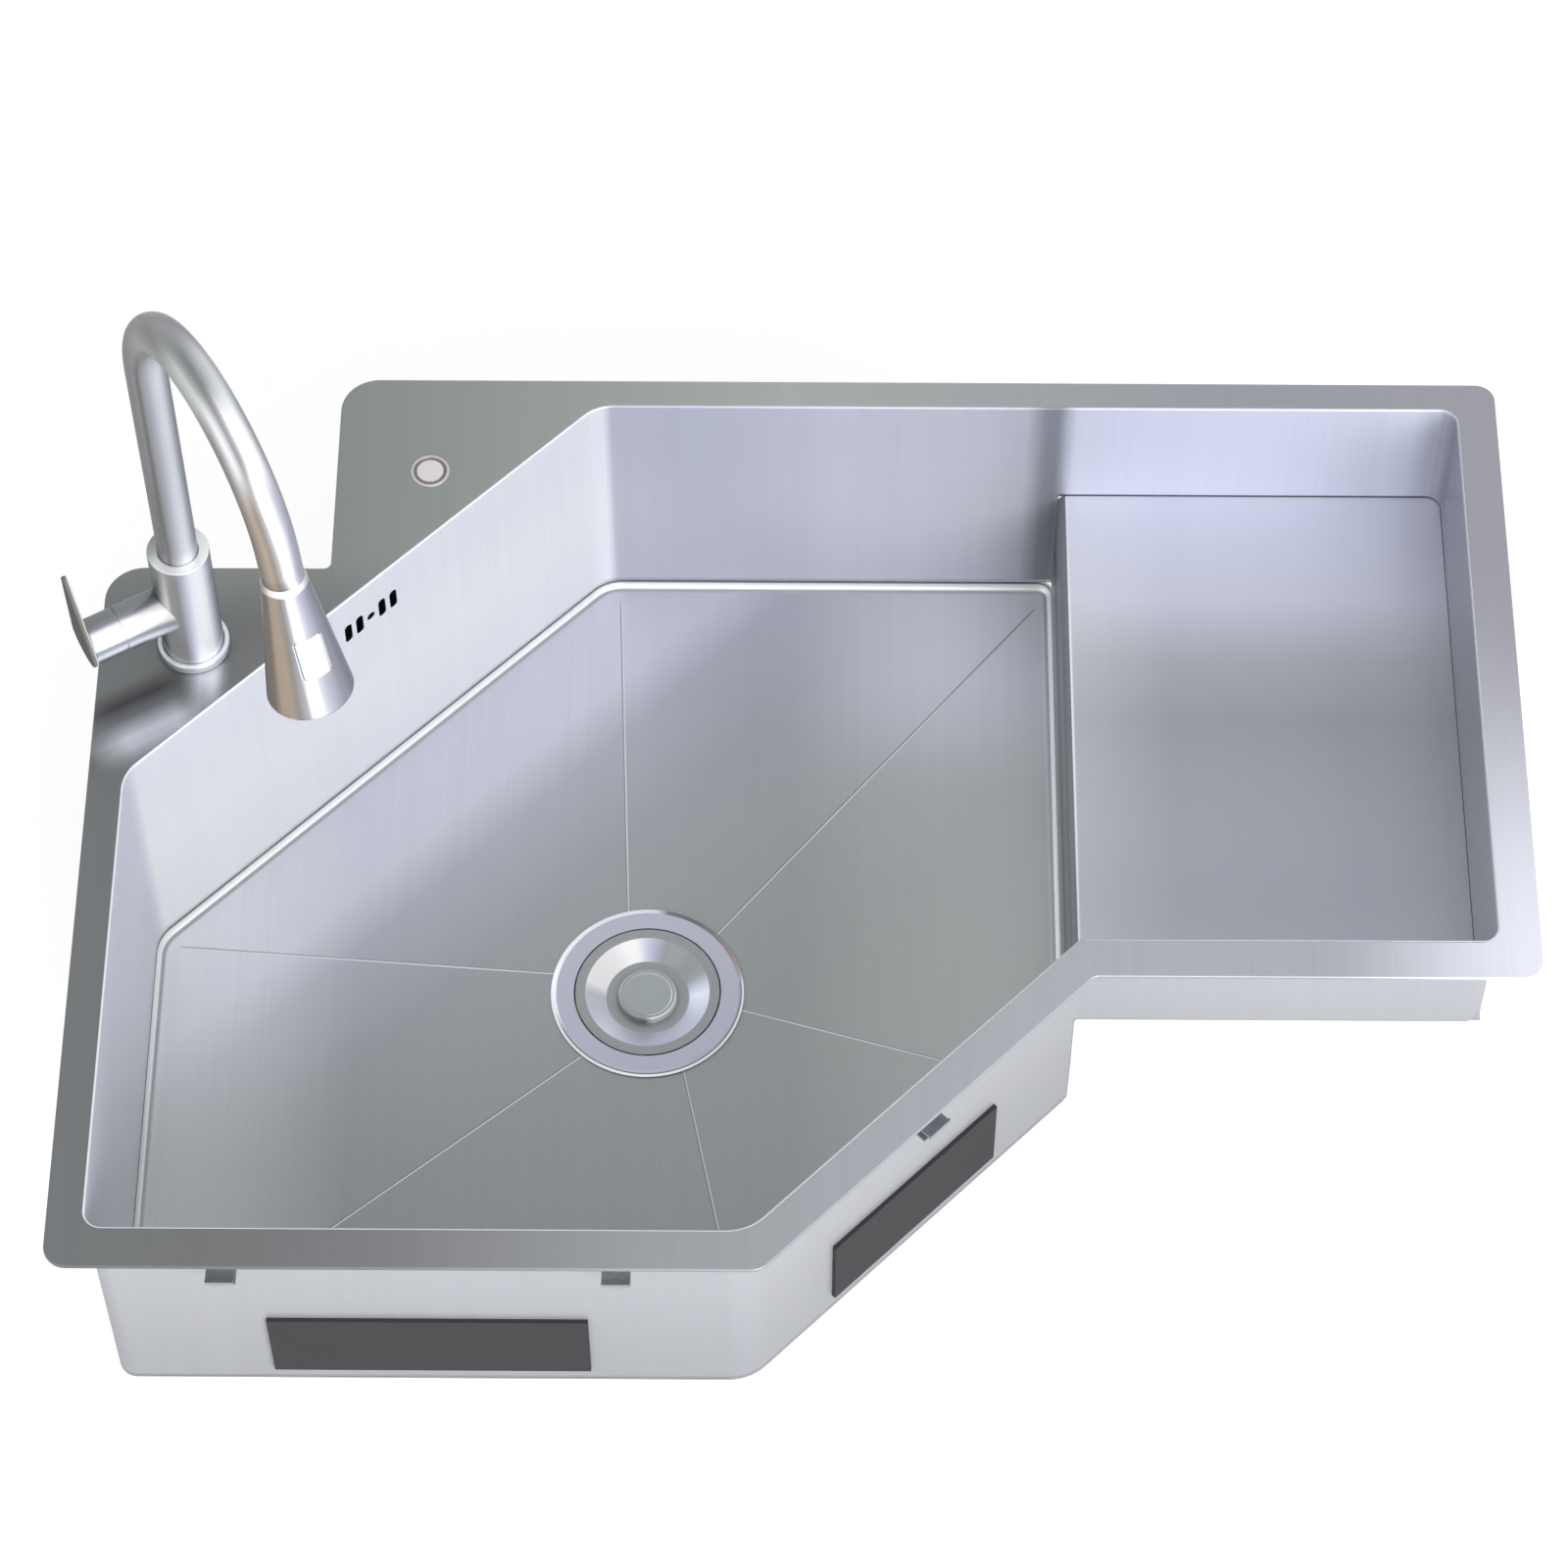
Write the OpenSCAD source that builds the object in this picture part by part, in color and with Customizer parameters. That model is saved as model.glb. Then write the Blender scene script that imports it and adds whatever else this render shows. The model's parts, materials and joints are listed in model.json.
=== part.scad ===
// Corner kitchen sink with a slanted front, a raised shelf and a pull-down mixer tap.
// Millimetres, +Z up, +X to the user's right, +Y towards the wall behind the sink.
// The origin is on the waste axis, at the level of the worktop that the deck plate rests on.

/* [Deck plate] */
// Overall width, left edge to right edge
deck_w = 950; // [900:1:1010]
// Overall depth, front of the left leg to the back edge
deck_d = 690; // [660:1:730]
// Length of the straight front edge at the left
front_w = 447; // [425:1:465]
// Run of the slanted front edge along each axis, at 45 degrees
slant_run = 213; // [195:1:225]
// Width of the square notch at the back left
notch_w = 151; // [125:1:160]
// Depth of the square notch at the back left
notch_d = 160; // [140:1:170]
// Thickness of the deck plate
deck_t = 3; // [2:0.5:5]
// Radius of the two front left corners
deck_front_r = 15; // [5:1:25]
// Radius of the inner corner where the slant meets the shelf front
deck_inner_r = 9; // [3:1:15]
// Radius of the two right corners
deck_right_r = 13; // [5:1:25]
// Radius of the two corners beside the notch
deck_notch_r = 26; // [10:1:35]
// Radius inside the notch
notch_r = 5; // [2:1:10]

/* [Bowl] */
// Width of the left rim
rim_left = 24; // [20:0.5:34]
// Width of the straight front rims
rim_front = 28.5; // [22:0.5:36]
// Width of the slanted front rim
rim_slant = 26; // [20:0.5:34]
// Width of the right rim
rim_right = 28; // [22:0.5:36]
// Width of the back rim
rim_back = 22.5; // [18:0.5:30]
// Run of the slanted rear wall along each axis, at 45 degrees
rear_run = 304; // [290:1:312]
// Depth of the bowl below the deck's top, at its walls
bowl_depth = 217; // [190:1:240]
// Fall of the floor from the walls to the waste
floor_fall = 6; // [3:0.5:10]
// Depth of the shelf below the deck's top
shelf_depth = 102; // [80:1:125]
// Radius of the shelf's front bend
shelf_bend_r = 7; // [4:0.5:10]
// Thickness of the bowl's sheet
sheet_t = 1.2; // [0.8:0.1:2]
// Radius between the walls and the floor
floor_r = 7; // [4:0.5:9]
// Radius of the bowl's square vertical corners
square_corner_r = 11; // [10:0.5:16]
// Radius of the rear wall's two wide vertical corners
rear_corner_r = 28; // [20:1:40]
// Radius of the front wall's wide vertical corner
front_corner_r = 34; // [20:1:45]
// Radius of the vertical corners at the foot of the step
step_corner_r = 10; // [9.5:0.5:14]
// Waste axis, from the deck's left edge
waste_x = 365; // [355:1:375]
// Waste axis, from the front edge of the left leg
waste_y = 328; // [318:1:338]

/* [Overflow] */
// Depth of the slots' centre below the deck's top
slot_drop = 37; // [32:1:42]
// Width of one slot
slot_w = 6.5; // [5:0.5:8]
// Height of one slot
slot_h = 19; // [12:1:22]
// Spacing of the slots along the wall
slot_pitch = 10.2; // [9.5:0.1:11]
// Outer radius of the overflow pipe
pipe_r = 9; // [7:0.5:10]
// Wall of the overflow pipe
pipe_wall = 1.5; // [1:0.25:2]
// Radius of the overflow pipe's bend
pipe_bend_r = 26; // [22:1:32]
// Height of the pipe's level run below the floor's lowest point
pipe_run_drop = 33; // [31:1:38]

/* [Waste fitting] */
// Outer radius of the waste flange
flange_r = 67; // [64:0.5:69]
// Width of the flange's polished bevel
flange_bevel = 3.8; // [2:0.2:5]
// Height of the flange above the floor
flange_h = 2.6; // [2.2:0.1:3.2]
// Radius of the recess that holds the basket and lid
recess_r = 51; // [50.5:0.1:53]
// Radius of the lid and the basket rim
lid_r = 50; // [48:0.5:50.2]
// Outer radius of the lid's cone
lid_cone_r = 43; // [40:0.5:44]
// Inner radius of the lid's cone
lid_floor_r = 29; // [26:0.5:31]
// Depth of the lid's dish
lid_dish = 8.5; // [6:0.5:10]
// Radius of the lid's knob
knob_r = 20.2; // [16:0.2:22]
// Height of the knob above the dish
knob_h = 5; // [3:0.5:6]
// Inner radius of the flange's threaded neck
neck_r = 46.5; // [45.5:0.5:47.5]
// Outer radius of the basket's cup
basket_r = 43.5; // [41:0.5:44.5]
// Depth of the basket's cup
basket_depth = 40; // [34:1:50]
// Outer radius of the outlet tail
tail_r = 20; // [18:0.5:24]
// Length of the outlet tail
tail_len = 38; // [30:1:50]

/* [Tap body] */
// Tap axis, inset from the left edge and from the notch's front edge
tap_inset = 63; // [60:0.5:66]
// Outer radius of the body
tap_body_r = 20.5; // [19.5:0.5:22]
// Height of the body's top above the deck
tap_body_h = 110; // [104:1:120]
// Height of the valve axis above the deck
valve_h = 54; // [50:1:58]
// Direction of the valve housing, in degrees from +X
valve_az = 210; // [195:1:225]
// Outer radius of the valve housing
valve_r = 15.9; // [15.5:0.1:17]
// Distance from the tap axis to the seam in front of the lever's hub
valve_seam = 49; // [46:0.5:54]
// Radius of the base ring
base_ring_r = 24.4; // [23.5:0.1:27]
// Height of the base ring
base_ring_h = 6; // [4:0.5:9]

/* [Spout] */
// Outer radius of the spout tube
spout_r = 13.3; // [12.5:0.1:14]
// Wall of the spout tube
spout_wall = 1.3; // [1:0.1:2]
// Height above the deck at which the arch begins
riser_h = 306; // [270:1:340]
// Radius of the arch, to the tube's axis
arch_r = 89.5; // [80:0.5:105]
// Sweep of the arch in degrees
arch_sweep = 169; // [160:1:178]
// Straight run after the arch
spout_end = 25.6; // [20:0.2:30]
// Direction of the spout at rest, in degrees from +X
spout_az = -58.7; // [-100:0.1:-20]

/* [Spray head] */
// Length of the spray head
head_len = 95; // [85:1:110]
// Radius of the head at the spout
head_top_r = 14.8; // [14.6:0.1:16]
// Radius of the head at its mouth
head_mouth_r = 27.3; // [24:0.1:30]
// Wall of the head's shell
head_wall = 2; // [1.5:0.1:2.5]
// Distance from the head's top to the top of the button
button_start = 34; // [28:1:40]
// Length of the button
button_len = 30; // [22:1:34]
// Width of the button
button_w = 17.5; // [12:0.5:19]
// Travel of the button
button_travel = 1.5; // [1:0.1:1.8]

/* [Lever] */
// Distance from the seam to the outer face of the hub
hub_len = 23; // [20:0.5:28]
// Radius of the lever's ball inside the housing
ball_r = 15.2; // [14.4:0.1:15.2]
// Height of the blade's tip above the valve axis
blade_h = 80; // [65:1:95]
// Radius of the blade around the hub
blade_r = 16.6; // [15.5:0.1:18]
// Radius of the blade's tip
blade_tip_r = 3; // [2:0.5:5]
// Thickness of the blade
blade_t = 3.4; // [2.5:0.1:5]
// Outward lean of the blade in degrees
blade_lean = 3.5; // [0:0.5:6]

/* [Hidden] */

// Number of segments on true circles
$fn = 64;
// Segments in each rounded corner of an outline
corner_steps = 9;
// Levels in the bend between the walls and the floor
bend_levels = 6;
// Overrun of every cut past the face that it opens
cut = 1;
// Thickness of the slices that a hull joins
slice = 0.01;
// Gap between two pieces that are carried but never rub
gap = 0.3;
// Radial clearance of a shaft that turns or slides in its bush
running = 0.05;

// Colours of the photographed finishes
steel_colour = [0.68, 0.70, 0.73];
bright_colour = [0.83, 0.84, 0.88];
rubber_colour = [0.13, 0.13, 0.14];
plastic_colour = [0.33, 0.34, 0.36];
brass_colour = [0.72, 0.60, 0.36];

// Levels, measured from the worktop
deck_top = deck_t;
floor_z = deck_top - bowl_depth;
seat_z = floor_z - floor_fall;
shelf_z = deck_top - shelf_depth;
lip_z = floor_z + floor_r;
slot_z = deck_top - slot_drop;

// Deck outline, counterclockwise from the front left corner
leg_d = deck_d - notch_d;
deck_pts = [[0, 0], [front_w, 0], [front_w + slant_run, slant_run], [deck_w, slant_run], [deck_w, deck_d],
    [notch_w, deck_d], [notch_w, leg_d], [0, leg_d]];
deck_radii = [deck_front_r, deck_front_r, deck_inner_r, deck_right_r, deck_right_r, deck_notch_r, notch_r,
    deck_notch_r];

// Bowl opening, counterclockwise from the front left corner
slant_shift = front_w - rim_slant * sqrt(2);
shelf_front_y = slant_run + rim_front;
step_x = slant_shift + shelf_front_y;
right_x = deck_w - rim_right;
back_y = deck_d - rim_back;
bowl_pts = [[rim_left, rim_front], [slant_shift + rim_front, rim_front], [step_x, shelf_front_y],
    [right_x, shelf_front_y], [right_x, back_y], [rim_left + rear_run, back_y],
    [rim_left, back_y - rear_run]];
step_meet_r = 2.5;
bowl_radii = [square_corner_r, front_corner_r, step_meet_r, square_corner_r, square_corner_r, rear_corner_r,
    rear_corner_r];

// Floor outline: the bowl without the shelf
floor_pts = [bowl_pts[0], bowl_pts[1], bowl_pts[2], [step_x, back_y], bowl_pts[5], bowl_pts[6]];
floor_radii = [square_corner_r, front_corner_r, step_corner_r, step_corner_r, rear_corner_r, rear_corner_r];

// Outline geometry
function unit(v) = v / norm(v);
function edge_dir(pts, i) = unit(pts[(i + 1) % len(pts)] - pts[i % len(pts)]);
function edge_out(pts, i) = let (u = edge_dir(pts, i)) [u.y, -u.x];
function before(pts, i) = (i + len(pts) - 1) % len(pts);
function turn(pts, i) = cross(edge_dir(pts, before(pts, i)), edge_dir(pts, i));
function grown(pts, d) = [for (i = [0 : len(pts) - 1])
    let (a = edge_out(pts, before(pts, i)), b = edge_out(pts, i)) pts[i] + d * (a + b) / (1 + a * b)];
function grown_radii(pts, radii, d) = [for (i = [0 : len(pts) - 1]) radii[i] + d * sign(turn(pts, i))];
// Points of one rounded corner: the arc from the incoming edge to the outgoing edge
function corner_arc(pts, radii, i) = let (
    u = edge_dir(pts, before(pts, i)), v = edge_dir(pts, i), side = sign(turn(pts, i)),
    setback = radii[i] * abs(turn(pts, i)) / (1 + u * v),
    start_out = edge_out(pts, before(pts, i)), swing = side * acos(u * v),
    centre = pts[i] - setback * u - side * radii[i] * start_out)
    [for (k = [0 : corner_steps]) let (a = swing * k / corner_steps)
        centre + side * radii[i] * [start_out.x * cos(a) - start_out.y * sin(a),
            start_out.x * sin(a) + start_out.y * cos(a)]];
function rounded(pts, radii) = [for (i = [0 : len(pts) - 1]) each corner_arc(pts, radii, i)];
function bowl_outline(d) = rounded(grown(bowl_pts, d), grown_radii(bowl_pts, bowl_radii, d));
function floor_outline(d) = rounded(grown(floor_pts, d), grown_radii(floor_pts, floor_radii, d));

// Moves plan coordinates, measured from the deck's front left corner, into the part's frame
module plan() {
    translate([-waste_x, -waste_y, 0]) children();
}

// Places children on a bowl wall: X along the wall, -Y outwards from its outer face
module on_wall(i, along) {
    p = bowl_pts[i] + along * edge_dir(bowl_pts, i) + sheet_t * edge_out(bowl_pts, i);
    plan() translate(p) rotate([0, 0, atan2(edge_dir(bowl_pts, i).y, edge_dir(bowl_pts, i).x)]) children();
}

function wall_length(i) = norm(bowl_pts[(i + 1) % len(bowl_pts)] - bowl_pts[i]);

// A ring or tube around Z, from z0 up to z1
module ring(r_out, r_in, z0, z1) {
    translate([0, 0, z0]) difference() {
        cylinder(r = r_out, h = z1 - z0);
        translate([0, 0, -cut]) cylinder(r = r_in, h = z1 - z0 + 2 * cut);
    }
}

// A slot with round ends, cut along X
module slot_cut(w, h, depth) {
    rotate([0, 90, 0]) {
        translate([-(h - w) / 2, 0, 0]) cylinder(d = w, h = depth);
        translate([(h - w) / 2, 0, 0]) cylinder(d = w, h = depth);
        translate([-(h - w) / 2, -w / 2, 0]) cube([h - w, w, depth]);
    }
}

// Deck plate with a thicker pad under the tap
tap_x = tap_inset;
tap_y = leg_d - tap_inset;
tap_hole_r = 17.5;
tap_pad_r = 32;
tap_pad_t = 2;
badge_r = 13.3;
badge_t = 0.8;
badge_from_notch = 64;
badge_from_back = 78.5;
badge_x = notch_w + badge_from_notch;
badge_y = deck_d - badge_from_back;

module at_tap() {
    plan() translate([tap_x, tap_y, 0]) children();
}

module deck_plate() {
    color(steel_colour) difference() {
        union() {
            plan() linear_extrude(deck_t) difference() {
                polygon(rounded(deck_pts, deck_radii));
                polygon(bowl_outline(sheet_t));
            }
            at_tap() translate([0, 0, -tap_pad_t]) cylinder(r = tap_pad_r, h = tap_pad_t + deck_t / 2);
        }
        at_tap() translate([0, 0, -tap_pad_t - cut])
            cylinder(r = tap_hole_r, h = tap_pad_t + deck_t + 2 * cut);
    }
}

// Plain round badge with a raised edge, bonded to the deck
badge_edge = 1.6;
badge_dish = 0.3;
module deck_badge() {
    color(bright_colour) plan() translate([badge_x, badge_y, deck_top]) difference() {
        cylinder(r = badge_r, h = badge_t);
        translate([0, 0, badge_t - badge_dish]) cylinder(r = badge_r - badge_edge, h = badge_dish + cut);
    }
}

// One wall of the bowl: its share of the sheet ring, mitred at both corners
mitre_in = 16;
mitre_out = 5;
module wall_panel(i, z_low) {
    far = grown(bowl_pts, mitre_out);
    near = grown(bowl_pts, -mitre_in);
    j = (i + 1) % len(bowl_pts);
    plan() translate([0, 0, z_low]) linear_extrude(deck_top - z_low) intersection() {
        difference() {
            polygon(bowl_outline(sheet_t));
            polygon(bowl_outline(0));
        }
        polygon([near[i], far[i], far[j], near[j]]);
    }
}

module front_wall() {
    color(steel_colour) wall_panel(0, lip_z);
}

module slanted_front_wall() {
    color(steel_colour) wall_panel(1, lip_z);
}

module shelf_front_wall() {
    color(steel_colour) wall_panel(2, shelf_z - sheet_t);
}

module right_wall() {
    color(steel_colour) wall_panel(3, shelf_z - sheet_t);
}

// The back wall runs behind both the bowl and the shelf
module back_wall() {
    color(steel_colour) difference() {
        wall_panel(4, lip_z);
        plan() translate([step_x + sheet_t, back_y - mitre_in, lip_z - cut])
            cube([deck_w, mitre_in + mitre_out, shelf_z - sheet_t - lip_z + cut]);
    }
}

module left_wall() {
    color(steel_colour) wall_panel(6, lip_z);
}

// Overflow frame: X from the waste axis square to the slanted rear wall
rear_out = edge_out(bowl_pts, 5);
overflow_az = atan2(rear_out.y, rear_out.x);
wall_dist = (bowl_pts[5] - [waste_x, waste_y]) * rear_out;
round_slot_d = 7;

module to_overflow() {
    rotate([0, 0, overflow_az]) children();
}

module slanted_rear_wall() {
    color(steel_colour) difference() {
        wall_panel(5, lip_z);
        to_overflow() translate([wall_dist - cut, 0, slot_z]) {
            for (k = [-2, -1, 1, 2]) translate([0, k * slot_pitch, 0])
                slot_cut(slot_w, slot_h, sheet_t + 2 * cut);
            rotate([0, 90, 0]) cylinder(d = round_slot_d, h = sheet_t + 2 * cut);
        }
    }
}

// Shelf and step, folded from one sheet over the front bend
module shelf_panel() {
    profile_x = step_x + shelf_bend_r;
    color(steel_colour) plan() intersection() {
        translate([0, back_y, 0]) rotate([90, 0, 0]) linear_extrude(back_y - shelf_front_y) {
            translate([profile_x, shelf_z - sheet_t]) square([right_x - profile_x, sheet_t]);
            translate([step_x, lip_z]) square([sheet_t, shelf_z - shelf_bend_r - lip_z]);
            translate([profile_x, shelf_z - shelf_bend_r]) intersection() {
                difference() {
                    circle(r = shelf_bend_r);
                    circle(r = shelf_bend_r - sheet_t);
                }
                translate([-shelf_bend_r, 0]) square(shelf_bend_r);
            }
        }
        translate([0, 0, floor_z]) linear_extrude(bowl_depth) polygon(bowl_outline(0));
    }
}

// Bowl floor: a pressed pan whose bend rises to the walls and whose panels fall to the waste
waste_hole_r = 54;
seat_margin = 2;
seat_r = flange_r + seat_margin;
module floor_hollow(d) {
    hull() {
        for (k = [0 : bend_levels]) let (a = 90 * k / bend_levels, r = floor_r + d)
            translate([0, 0, floor_z - d + r * (1 - sin(a))])
                linear_extrude(slice) polygon(floor_outline(d - r * (1 - cos(a))));
        translate([waste_x, waste_y, seat_z - d]) cylinder(r = seat_r, h = slice);
    }
}

module bowl_floor() {
    color(steel_colour) difference() {
        plan() intersection() {
            floor_hollow(sheet_t);
            translate([0, 0, seat_z - floor_r]) linear_extrude(lip_z - seat_z + floor_r)
                polygon(floor_outline(sheet_t));
        }
        plan() floor_hollow(0);
        translate([0, 0, lip_z]) cylinder(r = deck_w, h = cut);
        translate([0, 0, seat_z - floor_fall]) cylinder(r = waste_hole_r, h = bowl_depth);
    }
}

// Sound-deadening rubber pads bonded to the outside of the bowl
pad_t = 3;
pad_h = 70;
pad_drop = 22;
pad_z = shelf_z - pad_drop;
pad_share = 0.5;
pad_walls = [0, 1, 4, 6];
pad_centre_shares = [0.5, 0.5, 0.76, 0.5];
module wall_pads() {
    color(rubber_colour) for (k = [0 : len(pad_walls) - 1]) {
        w = wall_length(pad_walls[k]) * (pad_walls[k] == 4 ? pad_share / 2 : pad_share);
        on_wall(pad_walls[k], wall_length(pad_walls[k]) * pad_centre_shares[k])
            translate([-w / 2, -pad_t, pad_z - pad_h]) cube([w, pad_t, pad_h]);
    }
}

shelf_pad_inset = 50;
module shelf_pad() {
    color(rubber_colour) plan() translate([step_x + shelf_pad_inset, shelf_front_y + shelf_pad_inset,
        shelf_z - sheet_t - pad_t]) cube([right_x - step_x - 2 * shelf_pad_inset,
        back_y - shelf_front_y - 2 * shelf_pad_inset, pad_t]);
}

// Worktop clips: a bracket welded to the wall, a screw, and a jaw that lifts to the worktop
worktop_t = 30;
clip_walls = [0, 0, 1, 3, 3, 4, 4, 6];
clip_shares = [0.2, 0.8, 0.5, 0.2, 0.8, 0.12, 0.8, 0.3];
clip_w = 18;
clip_reach = 16;
clip_t = 2;
clip_tab = 14;
clip_drop = 14;
clip_z = -worktop_t - clip_drop;
clip_screw_x = 9;
clip_screw_r = 2;
clip_screw_len = 24;
clip_head_r = 4;
clip_head_h = 2.5;
jaw_reach = 21;

module at_clips() {
    for (k = [0 : len(clip_walls) - 1])
        on_wall(clip_walls[k], wall_length(clip_walls[k]) * clip_shares[k])
            translate([0, 0, clip_z]) rotate([0, 0, -90]) children();
}

module clip_brackets() {
    color(steel_colour) at_clips() difference() {
        union() {
            translate([0, -clip_w / 2, 0]) cube([clip_t, clip_w, clip_tab]);
            translate([0, -clip_w / 2, 0]) cube([clip_reach, clip_w, clip_t]);
        }
        translate([clip_screw_x, 0, -cut]) cylinder(r = clip_screw_r + running, h = clip_t + 2 * cut);
    }
}

module clip_jaws() {
    jaw_z = -worktop_t - clip_z - clip_t;
    color(steel_colour) at_clips() difference() {
        union() {
            translate([clip_t + gap, -clip_w / 2, jaw_z - clip_t])
                cube([jaw_reach - clip_t, clip_w, clip_t]);
            translate([jaw_reach + gap - clip_t, -clip_w / 2, jaw_z - clip_t]) cube([clip_t, clip_w, 2 * clip_t]);
        }
        translate([clip_screw_x, 0, 0]) cylinder(r = clip_screw_r + running, h = jaw_z + cut);
    }
}

module clip_screws() {
    color(steel_colour) at_clips() translate([clip_screw_x, 0, 0]) {
        translate([0, 0, -clip_head_h]) cylinder(r = clip_head_r, h = clip_head_h);
        translate([0, 0, -clip_head_h / 2]) cylinder(r = clip_screw_r, h = clip_screw_len / 2 + clip_head_h);
    }
}

// Overflow housing behind the slots, sealed to the rear wall and held on two studs
housing_w = 62;
housing_h = 46;
housing_wall = 2;
housing_depth = 20;
ear_w = 14;
ear_h = 22;
ear_t = 3;
overflow_gasket_t = 2;
stud_r = 2.5;
stud_len = 13;
nut_flat_r = 4.6;
nut_h = 4;
housing_drop = 6;
outer_face = wall_dist + sheet_t;
housing_face = outer_face + overflow_gasket_t;
pipe_shift = 1;
pipe_x = housing_face + housing_depth / 2 + pipe_shift;
housing_z = slot_z - housing_drop;
stud_y = (housing_w + ear_w) / 2;
spigot_len = 12;
spigot_z = housing_z - housing_h / 2 - spigot_len;
window_inset = 5;

module overflow_gasket() {
    color(rubber_colour) to_overflow() difference() {
        union() {
            translate([outer_face, -housing_w / 2, housing_z - housing_h / 2])
                cube([overflow_gasket_t, housing_w, housing_h]);
            translate([outer_face, -stud_y - ear_w / 2, housing_z - ear_h / 2])
                cube([overflow_gasket_t, 2 * stud_y + ear_w, ear_h]);
        }
        translate([outer_face - cut, -housing_w / 2 + window_inset, housing_z - housing_h / 2 + window_inset])
            cube([overflow_gasket_t + 2 * cut, housing_w - 2 * window_inset, housing_h - 2 * window_inset]);
        for (side = [-1, 1]) translate([outer_face - cut, side * stud_y, housing_z]) rotate([0, 90, 0])
            cylinder(r = stud_r + running, h = overflow_gasket_t + 2 * cut);
    }
}

module overflow_housing() {
    color(plastic_colour) to_overflow() difference() {
        union() {
            translate([housing_face, -housing_w / 2, housing_z - housing_h / 2])
                cube([housing_depth, housing_w, housing_h]);
            translate([housing_face, -stud_y - ear_w / 2, housing_z - ear_h / 2])
                cube([ear_t, 2 * stud_y + ear_w, ear_h]);
            translate([pipe_x, 0, spigot_z]) cylinder(r = pipe_r, h = spigot_len + housing_wall / 2);
        }
        translate([housing_face - cut, -housing_w / 2 + housing_wall, housing_z - housing_h / 2 + housing_wall])
            cube([housing_depth - housing_wall + cut, housing_w - 2 * housing_wall, housing_h - 2 * housing_wall]);
        translate([pipe_x, 0, spigot_z - cut])
            cylinder(r = pipe_r - pipe_wall, h = spigot_len + 2 * housing_wall + cut);
        for (side = [-1, 1]) translate([housing_face - cut, side * stud_y, housing_z]) rotate([0, 90, 0])
            cylinder(r = stud_r + running, h = ear_t + 2 * cut);
    }
}

module overflow_studs() {
    color(steel_colour) to_overflow() for (side = [-1, 1])
        translate([outer_face, side * stud_y, housing_z]) rotate([0, 90, 0]) cylinder(r = stud_r, h = stud_len);
}

module overflow_nuts() {
    color(steel_colour) to_overflow() for (side = [-1, 1])
        translate([housing_face + ear_t, side * stud_y, housing_z]) rotate([0, 90, 0]) difference() {
            cylinder(r = nut_flat_r, h = nut_h, $fn = 6);
            translate([0, 0, -cut]) cylinder(r = stud_r + running, h = nut_h + 2 * cut);
        }
}

// Rigid overflow pipe: down behind the wall, round a bend and level to the waste body
run_z = seat_z - pipe_run_drop;
socket_wall = 2;
socket_r = pipe_r + gap + socket_wall;
socket_len = spigot_len;
body_wall = 2.4;
body_r = 57;
branch_len = 22;
branch_end = body_r + branch_len;

// A pipe socket around a spigot, with its mouth at the origin and its pipe running along +Z
module socket() {
    ring(socket_r, pipe_r + gap, 0, socket_len);
    ring(socket_r, pipe_r - pipe_wall, socket_len, socket_len + socket_wall);
}

module overflow_pipe() {
    lower_end = run_z + pipe_bend_r;
    upper_end = spigot_z;
    inner_end = branch_end;
    color(plastic_colour) to_overflow() {
        translate([pipe_x, 0, spigot_z + socket_len]) rotate([180, 0, 0]) socket();
        translate([pipe_x, 0, 0]) ring(pipe_r, pipe_r - pipe_wall, lower_end, upper_end - socket_wall);
        translate([pipe_x - pipe_bend_r, 0, lower_end]) rotate([-90, 0, 0]) rotate_extrude(angle = 90)
            translate([pipe_bend_r, 0]) difference() {
                circle(r = pipe_r);
                circle(r = pipe_r - pipe_wall);
            }
        translate([0, 0, run_z]) rotate([0, 90, 0])
            ring(pipe_r, pipe_r - pipe_wall, inner_end + socket_wall, pipe_x - pipe_bend_r);
        translate([inner_end - socket_len, 0, run_z]) rotate([0, 90, 0]) socket();
    }
}

// Band clips that close the two sockets
band_w = 6;
band_t = 1;
module overflow_clips() {
    mid = (socket_len - band_w) / 2;
    color(bright_colour) to_overflow() {
        translate([pipe_x, 0, spigot_z + mid]) ring(socket_r + band_t, socket_r, 0, band_w);
        translate([branch_end - socket_len + mid, 0, run_z]) rotate([0, 90, 0])
            ring(socket_r + band_t, socket_r, 0, band_w);
    }
}

// Waste fitting
seal_t = 1;
seal_margin = 1;
seal_in_r = waste_hole_r + seal_margin;
flange_low = seat_z + seal_t;
flange_top = seat_z + flange_h;
flange_wall = 1.5;
flange_edge = 0.2;
ledge_depth = 5.2;
ledge_z = flange_top - ledge_depth;
neck_len = 30;
neck_end = seat_z - neck_len;
neck_wall = 2;
gasket_t = 3;
body_top = seat_z - sheet_t - gasket_t;
body_flange_r = 64;
body_flange_t = 5;
body_neck_r = neck_r + neck_wall + gap;
basket_t = 1;
basket_room = 22;
body_floor = ledge_z - basket_depth - basket_room;
cone_h = 16;
tail_wall = 2.5;
tail_z = body_floor - cone_h - tail_len;

module flange_seal() {
    color(rubber_colour) ring(flange_r - flange_bevel / 2, seal_in_r, seat_z, flange_low);
}

// Pressed flange with a polished bevel, a recess for the lid and a threaded neck
module waste_flange() {
    color(bright_colour) rotate_extrude() polygon([[flange_r, flange_low], [flange_r, flange_low + flange_edge],
        [flange_r - flange_bevel, flange_top], [recess_r, flange_top], [recess_r, ledge_z], [neck_r, ledge_z],
        [neck_r, neck_end], [neck_r + neck_wall, neck_end], [neck_r + neck_wall, ledge_z - flange_wall],
        [recess_r + flange_wall, ledge_z - flange_wall], [recess_r + flange_wall, flange_low]]);
}

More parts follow.
